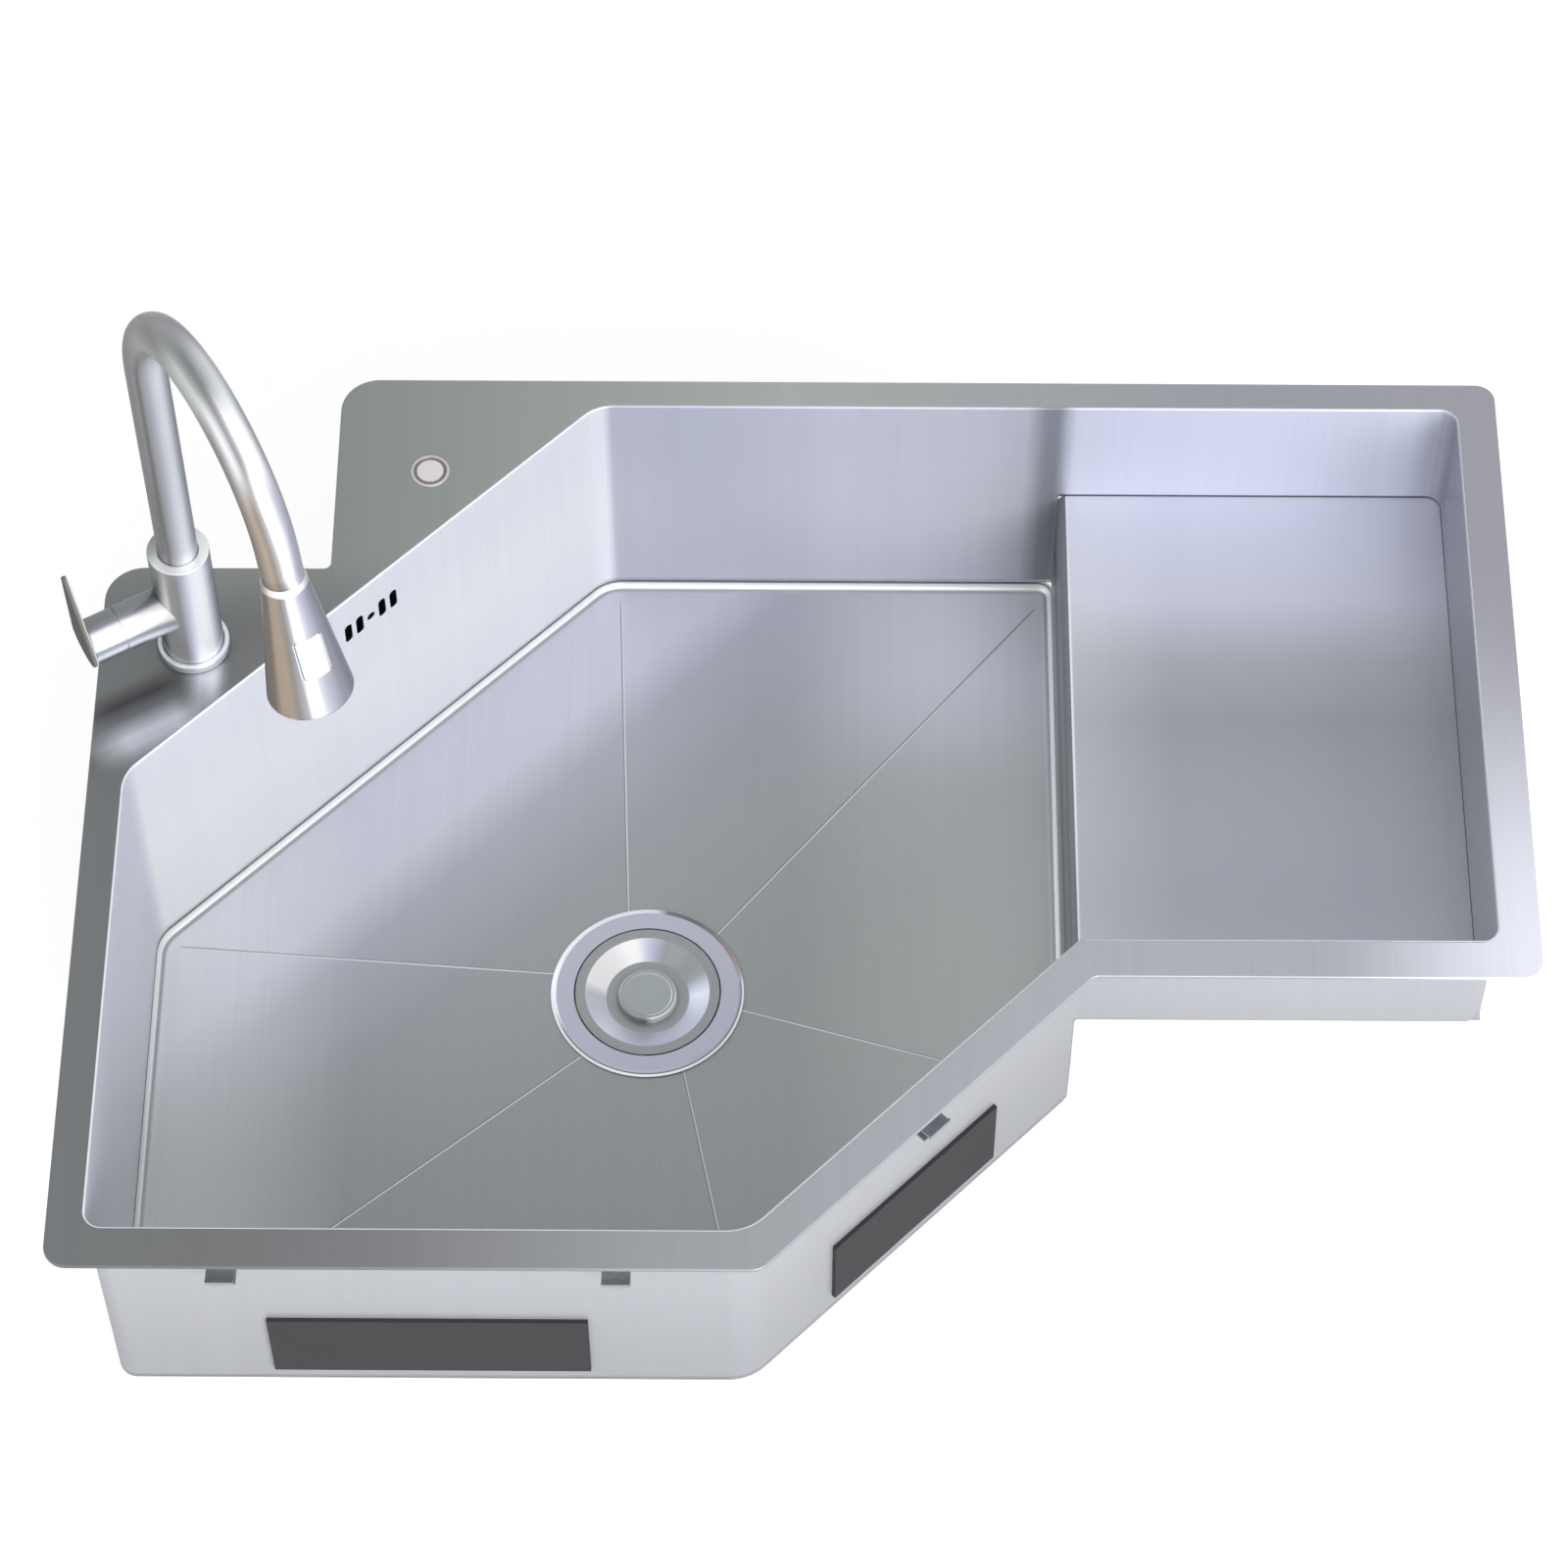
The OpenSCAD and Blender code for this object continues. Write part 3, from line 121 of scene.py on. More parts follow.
# Where rays from the waste axis cross an outline that is seen whole from there.
def rayPoints(outline, angles):
    at = np.unwrap(np.arctan2(outline[:, 1], outline[:, 0]))
    start = int(np.argmin(at))
    ring = np.roll(outline, -start, 0)
    at = np.unwrap(np.arctan2(ring[:, 1], ring[:, 0]))
    at = np.maximum.accumulate(at)
    ring = np.vstack([ring, ring[:1]])
    at = np.append(at, at[0] + 2 * math.pi)
    a = (angles - at[0]) % (2 * math.pi) + at[0]
    k = np.clip(np.searchsorted(at, a, "right") - 1, 0, len(ring) - 2)
    p, q = ring[k], ring[k + 1]
    d = np.stack([np.cos(a), np.sin(a)], 1)
    cross = lambda u, v: u[:, 0] * v[:, 1] - u[:, 1] * v[:, 0]
    t = -cross(p, d) / np.where(np.abs(cross(q - p, d)) < 1e-12, 1e-12, cross(q - p, d))
    return p + np.clip(t, 0, 1)[:, None] * (q - p)


# All the corner directions of some outlines, from the waste axis, without near repeats.
def anglesOf(*outlines):
    a = np.sort(np.concatenate([np.arctan2(o[:, 1], o[:, 0]) for o in outlines]) % (2 * math.pi))
    return a[np.append(True, np.diff(a) > 2e-5)]


# Directions from the waste axis at which an outline crosses a plane square to X.
def crossings(outline, x):
    p, q = outline, np.roll(outline, -1, 0)
    hit = (p[:, 0] - x) * (q[:, 0] - x) < 0
    t = (x - p[hit, 0]) / (q[hit, 0] - p[hit, 0])
    return np.arctan2(p[hit, 1] + t * (q[hit, 1] - p[hit, 1]), np.full(hit.sum(), x)) % (2 * math.pi)


# Makes one vertex of those that stand in one place, such as a pole's.
def weld(mesh):
    shape = bmesh.new()
    shape.from_mesh(mesh)
    bmesh.ops.remove_doubles(shape, verts=shape.verts, dist=1e-6)
    shape.to_mesh(mesh)
    shape.free()


# A mesh from a grid of points: rows run along, columns across, and each cell is one face.
def gridObject(name, grid, closedAcross=True, closedAlong=False, flip=False, smooth=True, skip=None):
    rows, cols = grid.shape[:2]
    index = np.arange(rows * cols).reshape(rows, cols)
    if closedAcross:
        index = np.hstack([index, index[:, :1]])
    if closedAlong:
        index = np.vstack([index, index[:1]])
    faces = np.stack([index[:-1, :-1], index[:-1, 1:], index[1:, 1:], index[1:, :-1]], -1)
    faces = faces.reshape(-1, 4) if skip is None else faces[~skip]
    if flip:
        faces = faces[:, ::-1]
    mesh = bpy.data.meshes.new(name)
    mesh.from_pydata((grid.reshape(-1, 3) * mm).tolist(), [], faces.tolist())
    weld(mesh)
    mesh.polygons.foreach_set("use_smooth", np.full(len(mesh.polygons), smooth))
    mesh.update()
    piece = bpy.data.objects.new(name, mesh)
    bpy.context.scene.collection.objects.link(piece)
    return piece


# A plan outline lifted to a height, which may differ from point to point.
def level(outline, z):
    return np.column_stack([outline, np.broadcast_to(z, len(outline))])


# A grid of points carried to its place: each one turned by the matrix, then moved by its last column.
def carried(grid, at):
    return grid @ at[:3, :3].T + at[:3, 3]


# A profile of radius and height turned about the Z axis, then carried to its place.
def turned(profile, around=96, at=np.eye(4)):
    angle = np.linspace(0, 2 * math.pi, around, endpoint=False)
    r, z = np.asarray(profile, float).T[:, :, None]
    return carried(np.stack(np.broadcast_arrays(r * np.cos(angle), r * np.sin(angle), z), -1), at)


# The angles of a quarter turn, for a rounded edge.
def quarter(count):
    return np.linspace(0, math.pi / 2, count)


# A 4 by 4 turn about a main axis.
def rotation(axis, degrees):
    c, s = math.cos(math.radians(degrees)), math.sin(math.radians(degrees))
    i, j = {"x": (1, 2), "y": (2, 0), "z": (0, 1)}[axis]
    m = np.eye(4)
    m[i, i] = m[j, j] = c
    m[i, j], m[j, i] = -s, s
    return m


# A 4 by 4 move.
def shift(x, y, z):
    m = np.eye(4)
    m[:3, 3] = x, y, z
    return m


# Several meshes made one, each with the materials that it had.
def joined(name, pieces):
    for piece in bpy.context.view_layer.objects:
        piece.select_set(piece in pieces)
    bpy.context.view_layer.objects.active = pieces[0]
    with bpy.context.temp_override(active_object=pieces[0], selected_editable_objects=pieces):
        bpy.ops.object.join()
    pieces[0].name = name
    return pieces[0]


# Gives a skin its metal thickness, on the side away from its faces, which takes the piece's second material.
def sheeted(piece, thickness):
    solid = piece.modifiers.new("sheet", "SOLIDIFY")
    solid.thickness = thickness * mm
    solid.offset = -1
    solid.use_even_offset = True
    solid.material_offset = 1
    return piece


# Hands a finished piece to its body.
def settle(piece, body, replaced=()):
    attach(piece, body)
    if replaced:
        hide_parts(*replaced)
    return piece


# A colour written as it is seen, in 0 to 255, as the shader wants it
def srgb(r, g, b):
    c = np.array([r, g, b], float) / 255
    return (*np.where(c <= 0.04045, c / 12.92, ((c + 0.055) / 1.055) ** 2.4), 1.0)


# A link from one socket to another
def link(tree, a, b):
    tree.links.new(a, b)


# A shader node with its settings
def newNode(tree, kind, **values):
    node = tree.nodes.new(kind)
    for key, value in values.items():
        setattr(node, key, value)
    return node


# An empty node group with named inputs and outputs
def newGroup(name, inputs, outputs):
    group = bpy.data.node_groups.new(name, "ShaderNodeTree")
    for kind, sockets in (("INPUT", inputs), ("OUTPUT", outputs)):
        for socket, socketType in sockets.items():
            group.interface.new_socket(socket, in_out=kind, socket_type="NodeSocket" + socketType)
    return group, newNode(group, "NodeGroupInput"), newNode(group, "NodeGroupOutput")


# The brushing: its streaks' span, how far they move the roughness, its broad noise, its mix and its relief
brushing = {"span": (0.3, 0.7), "swing": 0.04, "broad": 0.13, "fineShare": 0.6, "depth": 0.0002}


# How far the surface faces a direction: the dot of its normal with that direction, moved into 0 to 1
def makeFacingGroup():
    group, inside, outside = newGroup("facing", {"Direction": "Vector"}, {"Value": "Float"})
    place = newNode(group, "ShaderNodeTexCoord")
    even = newNode(group, "ShaderNodeVectorMath", operation="NORMALIZE")
    dot = newNode(group, "ShaderNodeVectorMath", operation="DOT_PRODUCT")
    half = newNode(group, "ShaderNodeMath", operation="MULTIPLY_ADD")
    half.inputs[1].default_value = half.inputs[2].default_value = 0.5
    link(group, inside.outputs["Direction"], even.inputs[0])
    link(group, place.outputs["Normal"], dot.inputs[0])
    link(group, even.outputs[0], dot.inputs[1])
    link(group, dot.outputs["Value"], half.inputs[0])
    link(group, half.outputs[0], outside.inputs["Value"])
    return group


# Where a point lies between two planes square to a direction, from 0 to 1
def makeAlongGroup():
    group, inside, outside = newGroup("along", {"Direction": "Vector", "Start": "Float", "End": "Float"},
                                      {"Value": "Float"})
    place = newNode(group, "ShaderNodeTexCoord")
    dot = newNode(group, "ShaderNodeVectorMath", operation="DOT_PRODUCT")
    span = newNode(group, "ShaderNodeMapRange")
    link(group, place.outputs["Object"], dot.inputs[0])
    link(group, inside.outputs["Direction"], dot.inputs[1])
    link(group, dot.outputs["Value"], span.inputs["Value"])
    link(group, inside.outputs["Start"], span.inputs["From Min"])
    link(group, inside.outputs["End"], span.inputs["From Max"])
    link(group, span.outputs["Result"], outside.inputs["Value"])
    return group


# A point's distance from an upright axis, and its direction from there as a share of a full turn
def makeAroundGroup():
    group, inside, outside = newGroup("around", {"Centre": "Vector"}, {"Radius": "Float", "Turn": "Float"})
    place = newNode(group, "ShaderNodeTexCoord")
    away = newNode(group, "ShaderNodeVectorMath", operation="SUBTRACT")
    flat = newNode(group, "ShaderNodeVectorMath", operation="MULTIPLY")
    flat.inputs[1].default_value = (1, 1, 0)
    length = newNode(group, "ShaderNodeVectorMath", operation="LENGTH")
    parts = newNode(group, "ShaderNodeSeparateXYZ")
    angle = newNode(group, "ShaderNodeMath", operation="ARCTAN2")
    turn = newNode(group, "ShaderNodeMath", operation="MULTIPLY_ADD")
    turn.inputs[1].default_value, turn.inputs[2].default_value = 1 / (2 * math.pi), 0.5
    link(group, place.outputs["Object"], away.inputs[0])
    link(group, inside.outputs["Centre"], away.inputs[1])
    link(group, away.outputs[0], flat.inputs[0])
    link(group, flat.outputs[0], length.inputs[0])
    link(group, flat.outputs[0], parts.inputs[0])
    link(group, parts.outputs["Y"], angle.inputs[0])
    link(group, parts.outputs["X"], angle.inputs[1])
    link(group, angle.outputs[0], turn.inputs[0])
    link(group, length.outputs["Value"], outside.inputs["Radius"])
    link(group, turn.outputs[0], outside.inputs["Turn"])
    return group


# Brushing: noise drawn out along the grain, as a streak value and a slightly tilted normal
def makeGrainGroup():
    group, inside, outside = newGroup("brushing", {"Scale": "Vector", "Relief": "Float"},
                                      {"Streak": "Float", "Normal": "Vector"})
    place = newNode(group, "ShaderNodeTexCoord")
    drawn = newNode(group, "ShaderNodeVectorMath", operation="MULTIPLY")
    wide = newNode(group, "ShaderNodeVectorMath", operation="SCALE")
    wide.inputs["Scale"].default_value = brushing["broad"]
    fine, broad = newNode(group, "ShaderNodeTexNoise"), newNode(group, "ShaderNodeTexNoise")
    for noise, detail in ((fine, 2.0), (broad, 1.0)):
        noise.inputs["Scale"].default_value = 1.0
        noise.inputs["Detail"].default_value = detail
    both = newNode(group, "ShaderNodeMath", operation="MULTIPLY_ADD")
    both.inputs[1].default_value = brushing["fineShare"]
    part = newNode(group, "ShaderNodeMath", operation="MULTIPLY")
    part.inputs[1].default_value = 1 - brushing["fineShare"]
    bump = newNode(group, "ShaderNodeBump")
    bump.inputs["Distance"].default_value = brushing["depth"]
    link(group, place.outputs["Object"], drawn.inputs[0])
    link(group, inside.outputs["Scale"], drawn.inputs[1])
    link(group, drawn.outputs[0], fine.inputs["Vector"])
    link(group, drawn.outputs[0], wide.inputs[0])
    link(group, wide.outputs[0], broad.inputs["Vector"])
    link(group, broad.outputs["Fac"], part.inputs[0])
    link(group, fine.outputs["Fac"], both.inputs[0])
    link(group, part.outputs[0], both.inputs[2])
    link(group, fine.outputs["Fac"], bump.inputs["Height"])
    link(group, inside.outputs["Relief"], bump.inputs["Strength"])
    link(group, both.outputs[0], outside.inputs["Streak"])
    link(group, bump.outputs["Normal"], outside.inputs["Normal"])
    return group


facingGroup, alongGroup = makeFacingGroup(), makeAlongGroup()
grainGroup, aroundGroup = makeGrainGroup(), makeAroundGroup()


# A shared group set into a material with its own values
def placed(tree, group, **values):
    node = newNode(tree, "ShaderNodeGroup", node_tree=group)
    for key, value in values.items():
        node.inputs[key].default_value = value
    return node


# A value carried in proportion from one span to another
def mapped(tree, source, start, end, low=0.0, high=1.0):
    node = newNode(tree, "ShaderNodeMapRange")
    for key, value in (("From Min", start), ("From Max", end), ("To Min", low), ("To Max", high)):
        node.inputs[key].default_value = value
    link(tree, source, node.inputs["Value"])
    return node.outputs["Result"]


# Colours between positions from 0 to 1, as (position, colour) pairs
def ramp(tree, source, stops):
    node = newNode(tree, "ShaderNodeValToRGB")
    node.color_ramp.interpolation = "EASE" if len(stops) == 2 else "LINEAR"
    elements = node.color_ramp.elements
    while len(elements) < len(stops):
        elements.new(0.5)
    for element, (position, colour) in zip(elements, stops):
        element.position, element.color = position, srgb(*colour)
    link(tree, source, node.inputs["Fac"])
    return node.outputs["Color"]


# Tones at places along a direction, in metres
def tonesAlong(tree, direction, stops):
    start, end = stops[0][0], stops[-1][0]
    where = placed(tree, alongGroup, Direction=direction, Start=start, End=end)
    return ramp(tree, where.outputs["Value"], [((at - start) / (end - start), tone) for at, tone in stops])


# Tones by how far the surface faces a direction, from -1 to 1
def tonesFacing(tree, direction, stops):
    where = placed(tree, facingGroup, Direction=direction)
    return ramp(tree, where.outputs["Value"], [((at + 1) / 2, tone) for at, tone in stops])


# Tones by the distance from an upright axis, in metres
def tonesFrom(tree, centre, stops):
    end = stops[-1][0]
    reach = mapped(tree, placed(tree, aroundGroup, Centre=centre).outputs["Radius"], 0.0, end)
    return ramp(tree, reach, [(at / end, tone) for at, tone in stops])


# Tones by the direction from an upright axis, in degrees from -180 to 180
def tonesAround(tree, centre, stops):
    where = placed(tree, aroundGroup, Centre=centre)
    return ramp(tree, where.outputs["Turn"], [((at + 180) / 360, tone) for at, tone in stops])


black, white = (0, 0, 0), (255, 255, 255)
alongX, alongY, alongZ = (1, 0, 0), (0, 1, 0), (0, 0, 1)
towardsFront = (0, -1, 0)


# A mix of two colours, each a socket or a plain value, by a factor of either kind
def mixed(tree, factor, a, b, kind="MIX"):
    node = newNode(tree, "ShaderNodeMix", data_type="RGBA", blend_type=kind)
    for socket, value in ((node.inputs[0], factor), (node.inputs[6], a), (node.inputs[7], b)):
        if isinstance(value, bpy.types.NodeSocket):
            link(tree, value, socket)
        else:
            socket.default_value = value
    return node.outputs[2]


# Two colours multiplied
def product(tree, a, b):
    return mixed(tree, 1.0, a, b, "MULTIPLY")


# Darkens a colour by the brushing's streaks, down to 1 less twice the amount
def streaked(tree, colour, streak, amount):
    scale = newNode(tree, "ShaderNodeVectorMath", operation="SCALE")
    link(tree, colour, scale.inputs[0])
    link(tree, mapped(tree, streak, *brushing["span"], 1 - 2 * amount, 1.0), scale.inputs["Scale"])
    return scale.outputs[0]


# A brushed surface: its streaks give its colour through colourOf, and its roughness, and its grain the relief
def surfaceMaterial(name, look, colourOf, span, rough):
    material = bpy.data.materials.new(name)
    material.use_nodes = True
    tree = material.node_tree
    shader = tree.nodes["Principled BSDF"]
    shader.inputs["Metallic"].default_value = look.get("metallic", 0.0)
    shader.inputs["Specular IOR Level"].default_value = look.get("specular", 0.5)
    grain = placed(tree, grainGroup, Scale=look["grain"], Relief=look["relief"])
    streak = grain.outputs["Streak"]
    link(tree, colourOf(tree, streak), shader.inputs["Base Color"])
    link(tree, mapped(tree, streak, *span, *rough), shader.inputs["Roughness"])
    link(tree, grain.outputs["Normal"], shader.inputs["Normal"])
    return material


# A brushed or satin metal: tonesOf builds its colour before the streaks
def metalMaterial(name, look, tonesOf):
    def colourOf(tree, streak):
        return streaked(tree, tonesOf(tree), streak, look["streaks"])
    rough = look["rough"] - brushing["swing"], look["rough"] + brushing["swing"]
    return surfaceMaterial(name, look, colourOf, brushing["span"], rough)


# Moulded, cast or rubber surfaces: a mottled colour and an uneven gloss
def plainMaterial(name, look):
    def colourOf(tree, streak):
        return mixed(tree, streak, srgb(*look["dark"]), srgb(*look["light"]))
    return surfaceMaterial(name, look, colourOf, (0.0, 1.0), look["rough"])


# Gives a piece its materials, in the order of its slots
def paint(piece, *materials):
    piece.data.materials.clear()
    for material in materials:
        piece.data.materials.append(material)


# the deck's tones are painted reflections: darker on the left, lighter to the right
deckLook = {"metallic": 0.4, "rough": 0.34, "streaks": 0.035, "relief": 0.03, "grain": (700.0, 3.0, 3.0),
            "across": [(-0.365, (114, 117, 119)), (-0.25, (114, 116, 117)), (-0.147, (126, 127, 132)),
                       (0.0, (153, 156, 161)), (0.13, (165, 168, 174)), (0.26, (173, 177, 183)),
                       (0.42, (174, 177, 187)), (0.585, (163, 163, 173))],
            "back": [(-0.22, (136, 142, 140)), (-0.12, (147, 153, 150)), (0.1, (170, 175, 173)),
                     (0.4, (156, 159, 167)), (0.58, (160, 160, 170))],
            # the back tones, painted reflections too, take over behind the bowl, and the corner's painted
            # highlight at the front right
            "backMask": [(0.15, black), (0.22, white)], "rightMask": [(0.43, black), (0.585, white)],
            "frontMask": [(-0.18, black), (0.10, white)], "corner": (238, 241, 253),
            # the lever's painted reflection, a dark and a light band: tones and reach across it, then its
            # reach along it
            "lever": [(-0.2675, (112, 114, 116)), (-0.2515, (66, 68, 70)), (-0.24, (124, 126, 130)),
                      (-0.2255, (212, 215, 227)), (-0.212, (176, 178, 186)), (-0.2, (116, 118, 121))],
            "leverReflectionAcross": [(-0.2695, black), (-0.26, white), (-0.217, white), (-0.2, black)],
            "leverReflectionAlong": [(-0.292, black), (-0.265, white), (-0.228, white), (-0.203, black)],
            # the body's painted reflection, a bright strip under the base ring
            "body": [(-0.31, (100, 102, 104)), (-0.3035, (150, 152, 156)), (-0.297, (214, 217, 226)),
                     (-0.287, (222, 224, 232)), (-0.2805, (142, 144, 148)), (-0.275, (114, 116, 118))],
            "bodyReflectionAcross": [(-0.311, black), (-0.305, white), (-0.279, white), (-0.274, black)],
            "bodyReflectionDown": [(0.084, black), (0.112, white), (0.122, white), (0.128, black)]}
acrossLever, alongLever = (0.5, -0.866, 0), (0.866, 0.5, 0)


# The deck: painted reflections as tones from left to right in front and behind, a painted highlight at the
# corner, and the two painted reflections over them
def deckColour(tree):
    front = tonesAlong(tree, alongX, deckLook["across"])
    back = tonesAlong(tree, alongX, deckLook["back"])
    base = mixed(tree, tonesAlong(tree, alongY, deckLook["backMask"]), front, back)
    cornerMask = product(tree, tonesAlong(tree, alongX, deckLook["rightMask"]),
                         tonesAlong(tree, towardsFront, deckLook["frontMask"]))
    base = mixed(tree, cornerMask, base, srgb(*deckLook["corner"]))
    leverReflectionMask = product(tree, tonesAlong(tree, acrossLever, deckLook["leverReflectionAcross"]),
                        tonesAlong(tree, alongLever, deckLook["leverReflectionAlong"]))
    base = mixed(tree, leverReflectionMask, base, tonesAlong(tree, acrossLever, deckLook["lever"]))
    bodyReflectionMask = product(tree, tonesAlong(tree, alongX, deckLook["bodyReflectionAcross"]),
                       tonesAlong(tree, alongY, deckLook["bodyReflectionDown"]))
    return mixed(tree, bodyReflectionMask, base, tonesAlong(tree, alongX, deckLook["body"]))


# the walls' tones are painted light and shade: turn by the way a wall faces, lighter where it faces towards
# the right and darker where it faces towards the left; back along the back wall, with a painted shade band
# beside the step; front for the walls that face back; lift a painted light towards the front; down a little
# darker towards the rim
wallLook = {"metallic": 0.3, "rough": 0.36, "streaks": 0.03, "relief": 0.02, "grain": (700.0, 700.0, 4.0),
            "turn": [(-1.0, (160, 162, 170)), (-0.5, (190, 192, 200)), (0.0, (190, 192, 202)),
                     (0.3, (248, 250, 255)), (0.6, (252, 253, 255)), (0.8, (250, 251, 255)),
                     (0.93, (222, 226, 238)), (1.0, (212, 217, 229))],
            "back": [(-0.05, (198, 200, 212)), (0.03, (200, 203, 215)), (0.13, (214, 216, 230)),
                     (0.23, (208, 210, 222)), (0.262, (196, 199, 209)), (0.275, (144, 147, 156)),
                     (0.284, (140, 143, 152)), (0.296, (214, 217, 232)), (0.42, (224, 227, 242)),
                     (0.5, (226, 229, 243)), (0.53, (240, 243, 255)), (0.555, (206, 208, 220))],
            "lift": [(-0.3, black), (-0.1, (70, 70, 70)), (0.05, (150, 150, 150)), (0.3, (195, 195, 195))],
            "down": [(-0.13, white), (-0.005, (240, 241, 246))],
            "outer": [(-0.22, (160, 162, 168)), (0.0, (178, 180, 186))],
            "front": (170, 173, 180), "seamDark": (110, 110, 118), "seam": -0.0985,
            # which way the back and front walls face, and where the shelf's part begins
            "backMask": [(-0.4, black), (-0.12, white), (0.05, white), (0.18, black)],
            "frontMask": [(0.2, black), (0.5, white)], "shelfMask": [(0.285, black), (0.289, white)]}


# The walls: painted light and shade as tones by the way they face, the back wall's from left to right, painted
# light towards the front, and a dark seam above the shelf
def wallColour(tree):
    turn = tonesFacing(tree, alongX, wallLook["turn"])
    backMask = tonesFacing(tree, alongX, wallLook["backMask"])
    base = mixed(tree, backMask, turn, tonesAlong(tree, alongX, wallLook["back"]))
    base = mixed(tree, tonesFacing(tree, alongY, wallLook["frontMask"]), base, srgb(*wallLook["front"]))
    base = mixed(tree, tonesAlong(tree, towardsFront, wallLook["lift"]), base, srgb(*white))
    base = product(tree, base, tonesAlong(tree, alongZ, wallLook["down"]))
    seam, dark = wallLook["seam"], wallLook["seamDark"]
    line = tonesAlong(tree, alongZ, [(seam - 0.004, white), (seam - 0.0006, dark), (seam + 0.0006, dark),
                                     (seam + 0.0014, white)])
    return mixed(tree, tonesAlong(tree, alongX, wallLook["shelfMask"]), base, product(tree, base, line))


# The sheet's outer side: satin steel, a little darker down the walls
def outerColour(tree):
    return tonesAlong(tree, alongZ, wallLook["outer"])


# the floor's tones are painted light and shade: fromSlant lighter near the slanted rear wall, front a painted
# shade, back a painted light at the back right, lift painted light at both ends, bend a dark line and a
# painted highlight band, crease the creases' painted light and shade
floorLook = {"metallic": 0.3, "rough": 0.36, "streaks": 0.03, "relief": 0.02, "grain": (700.0, 3.0, 3.0),
             "fromSlant": [(-0.266, (204, 207, 220)), (-0.20, (202, 205, 217)), (-0.165, (174, 177, 187)),
                           (-0.10, (160, 165, 170)), (0.0, (158, 165, 165)), (0.15, (160, 166, 166))],
             "front": (158, 162, 165), "frontMask": [(0.02, black), (0.2, white)],
             "back": (206, 209, 221), "backMask": [(0.15, black), (0.27, white)],
             "rightMask": [(0.06, black), (0.24, white)], "levelMask": [(0.975, black), (0.995, white)],
             "crease": [(-0.5, (110, 113, 114)), (-0.15, (128, 131, 132)), (0.0, (206, 210, 212)),
                        (0.3, (222, 226, 228))],
             "lift": [(-0.335, (185, 185, 185)), (-0.2, black), (0.1, black), (0.27, (150, 150, 150))],
             "bend": [(0.0, (130, 132, 138)), (0.1, (104, 104, 110)), (0.24, (150, 150, 156)),
                      (0.36, (255, 255, 255)), (0.78, (255, 255, 255)), (0.9, (150, 152, 160)),
                      (0.985, (180, 182, 192))]}


# directions away from the slanted rear wall, and across the creases
fromSlant, acrossCrease = (0.7071, -0.7071, 0), (0.8, -0.6, 0)


# The floor: painted light and shade as tones away from the slanted rear wall, painted shade in front, painted
# light at the back right and at both ends, and a painted highlight along its bend
def floorColour(tree):
    base = tonesAlong(tree, fromSlant, floorLook["fromSlant"])
    frontMask = tonesAlong(tree, towardsFront, floorLook["frontMask"])
    base = mixed(tree, frontMask, base, srgb(*floorLook["front"]))
    cornerMask = product(tree, tonesAlong(tree, alongY, floorLook["backMask"]),
                         tonesAlong(tree, alongX, floorLook["rightMask"]))
    base = mixed(tree, cornerMask, base, srgb(*floorLook["back"]))
    base = mixed(tree, tonesAlong(tree, alongX, floorLook["lift"]), base, srgb(*white))
    bend = tonesFacing(tree, alongZ, floorLook["bend"])
    return mixed(tree, tonesFacing(tree, alongZ, floorLook["levelMask"]), bend, base)


# The creases catch the light on their right sides and are dark on their left ones
def creaseColour(tree):
    return tonesFacing(tree, acrossCrease, floorLook["crease"])


# the shelf's tones are painted light and shade: depth from front to back, right a painted shade towards the
# right wall, lift painted light at both ends, step the step's painted shade with a darker band, nose a painted
# highlight along its rounded edge
shelfLook = {"metallic": 0.3, "rough": 0.36, "streaks": 0.015, "relief": 0.015, "grain": (700.0, 3.0, 3.0),
             "depth": [(-0.09, (202, 204, 216)), (0.02, (176, 178, 190)), (0.15, (156, 159, 168)),
                       (0.20, (170, 173, 182)), (0.25, (200, 203, 217)), (0.34, (212, 215, 230))],
             "right": (248, 248, 250), "rightMask": [(0.45, black), (0.555, white)],
             "lift": [(0.294, (120, 120, 120)), (0.36, black), (0.48, black), (0.557, (100, 100, 100))],
             "step": [(-0.214, (96, 96, 100)), (-0.209, (160, 162, 166)), (-0.18, (150, 153, 155)),
                      (-0.163, (88, 90, 92)), (-0.15, (58, 60, 62)), (-0.143, (112, 114, 118)),
                      (-0.112, (118, 120, 125)), (-0.104, (122, 124, 129))],
             "nose": (240, 242, 248), "noseHighlightMask": [(0.955, black), (0.97, white)],
             "levelMask": [(0.992, black), (0.998, white)]}


# The shelf: painted light and shade as tones from front to back where it is level, and down the step, with a
# painted highlight over its nose
def shelfColour(tree):
    base = tonesAlong(tree, alongY, shelfLook["depth"])
    rightMask = tonesAlong(tree, alongX, shelfLook["rightMask"])
    base = mixed(tree, rightMask, base, product(tree, base, srgb(*shelfLook["right"])))
    base = mixed(tree, tonesAlong(tree, alongX, shelfLook["lift"]), base, srgb(*white))
    step = tonesAlong(tree, alongZ, shelfLook["step"])
    step = mixed(tree, tonesFacing(tree, alongZ, shelfLook["noseHighlightMask"]), step, srgb(*shelfLook["nose"]))
    return mixed(tree, tonesFacing(tree, alongZ, shelfLook["levelMask"]), step, base)


chromeLook = {"metallic": 0.35, "rough": 0.3, "streaks": 0.008, "relief": 0.004, "grain": (60.0, 60.0, 60.0)}
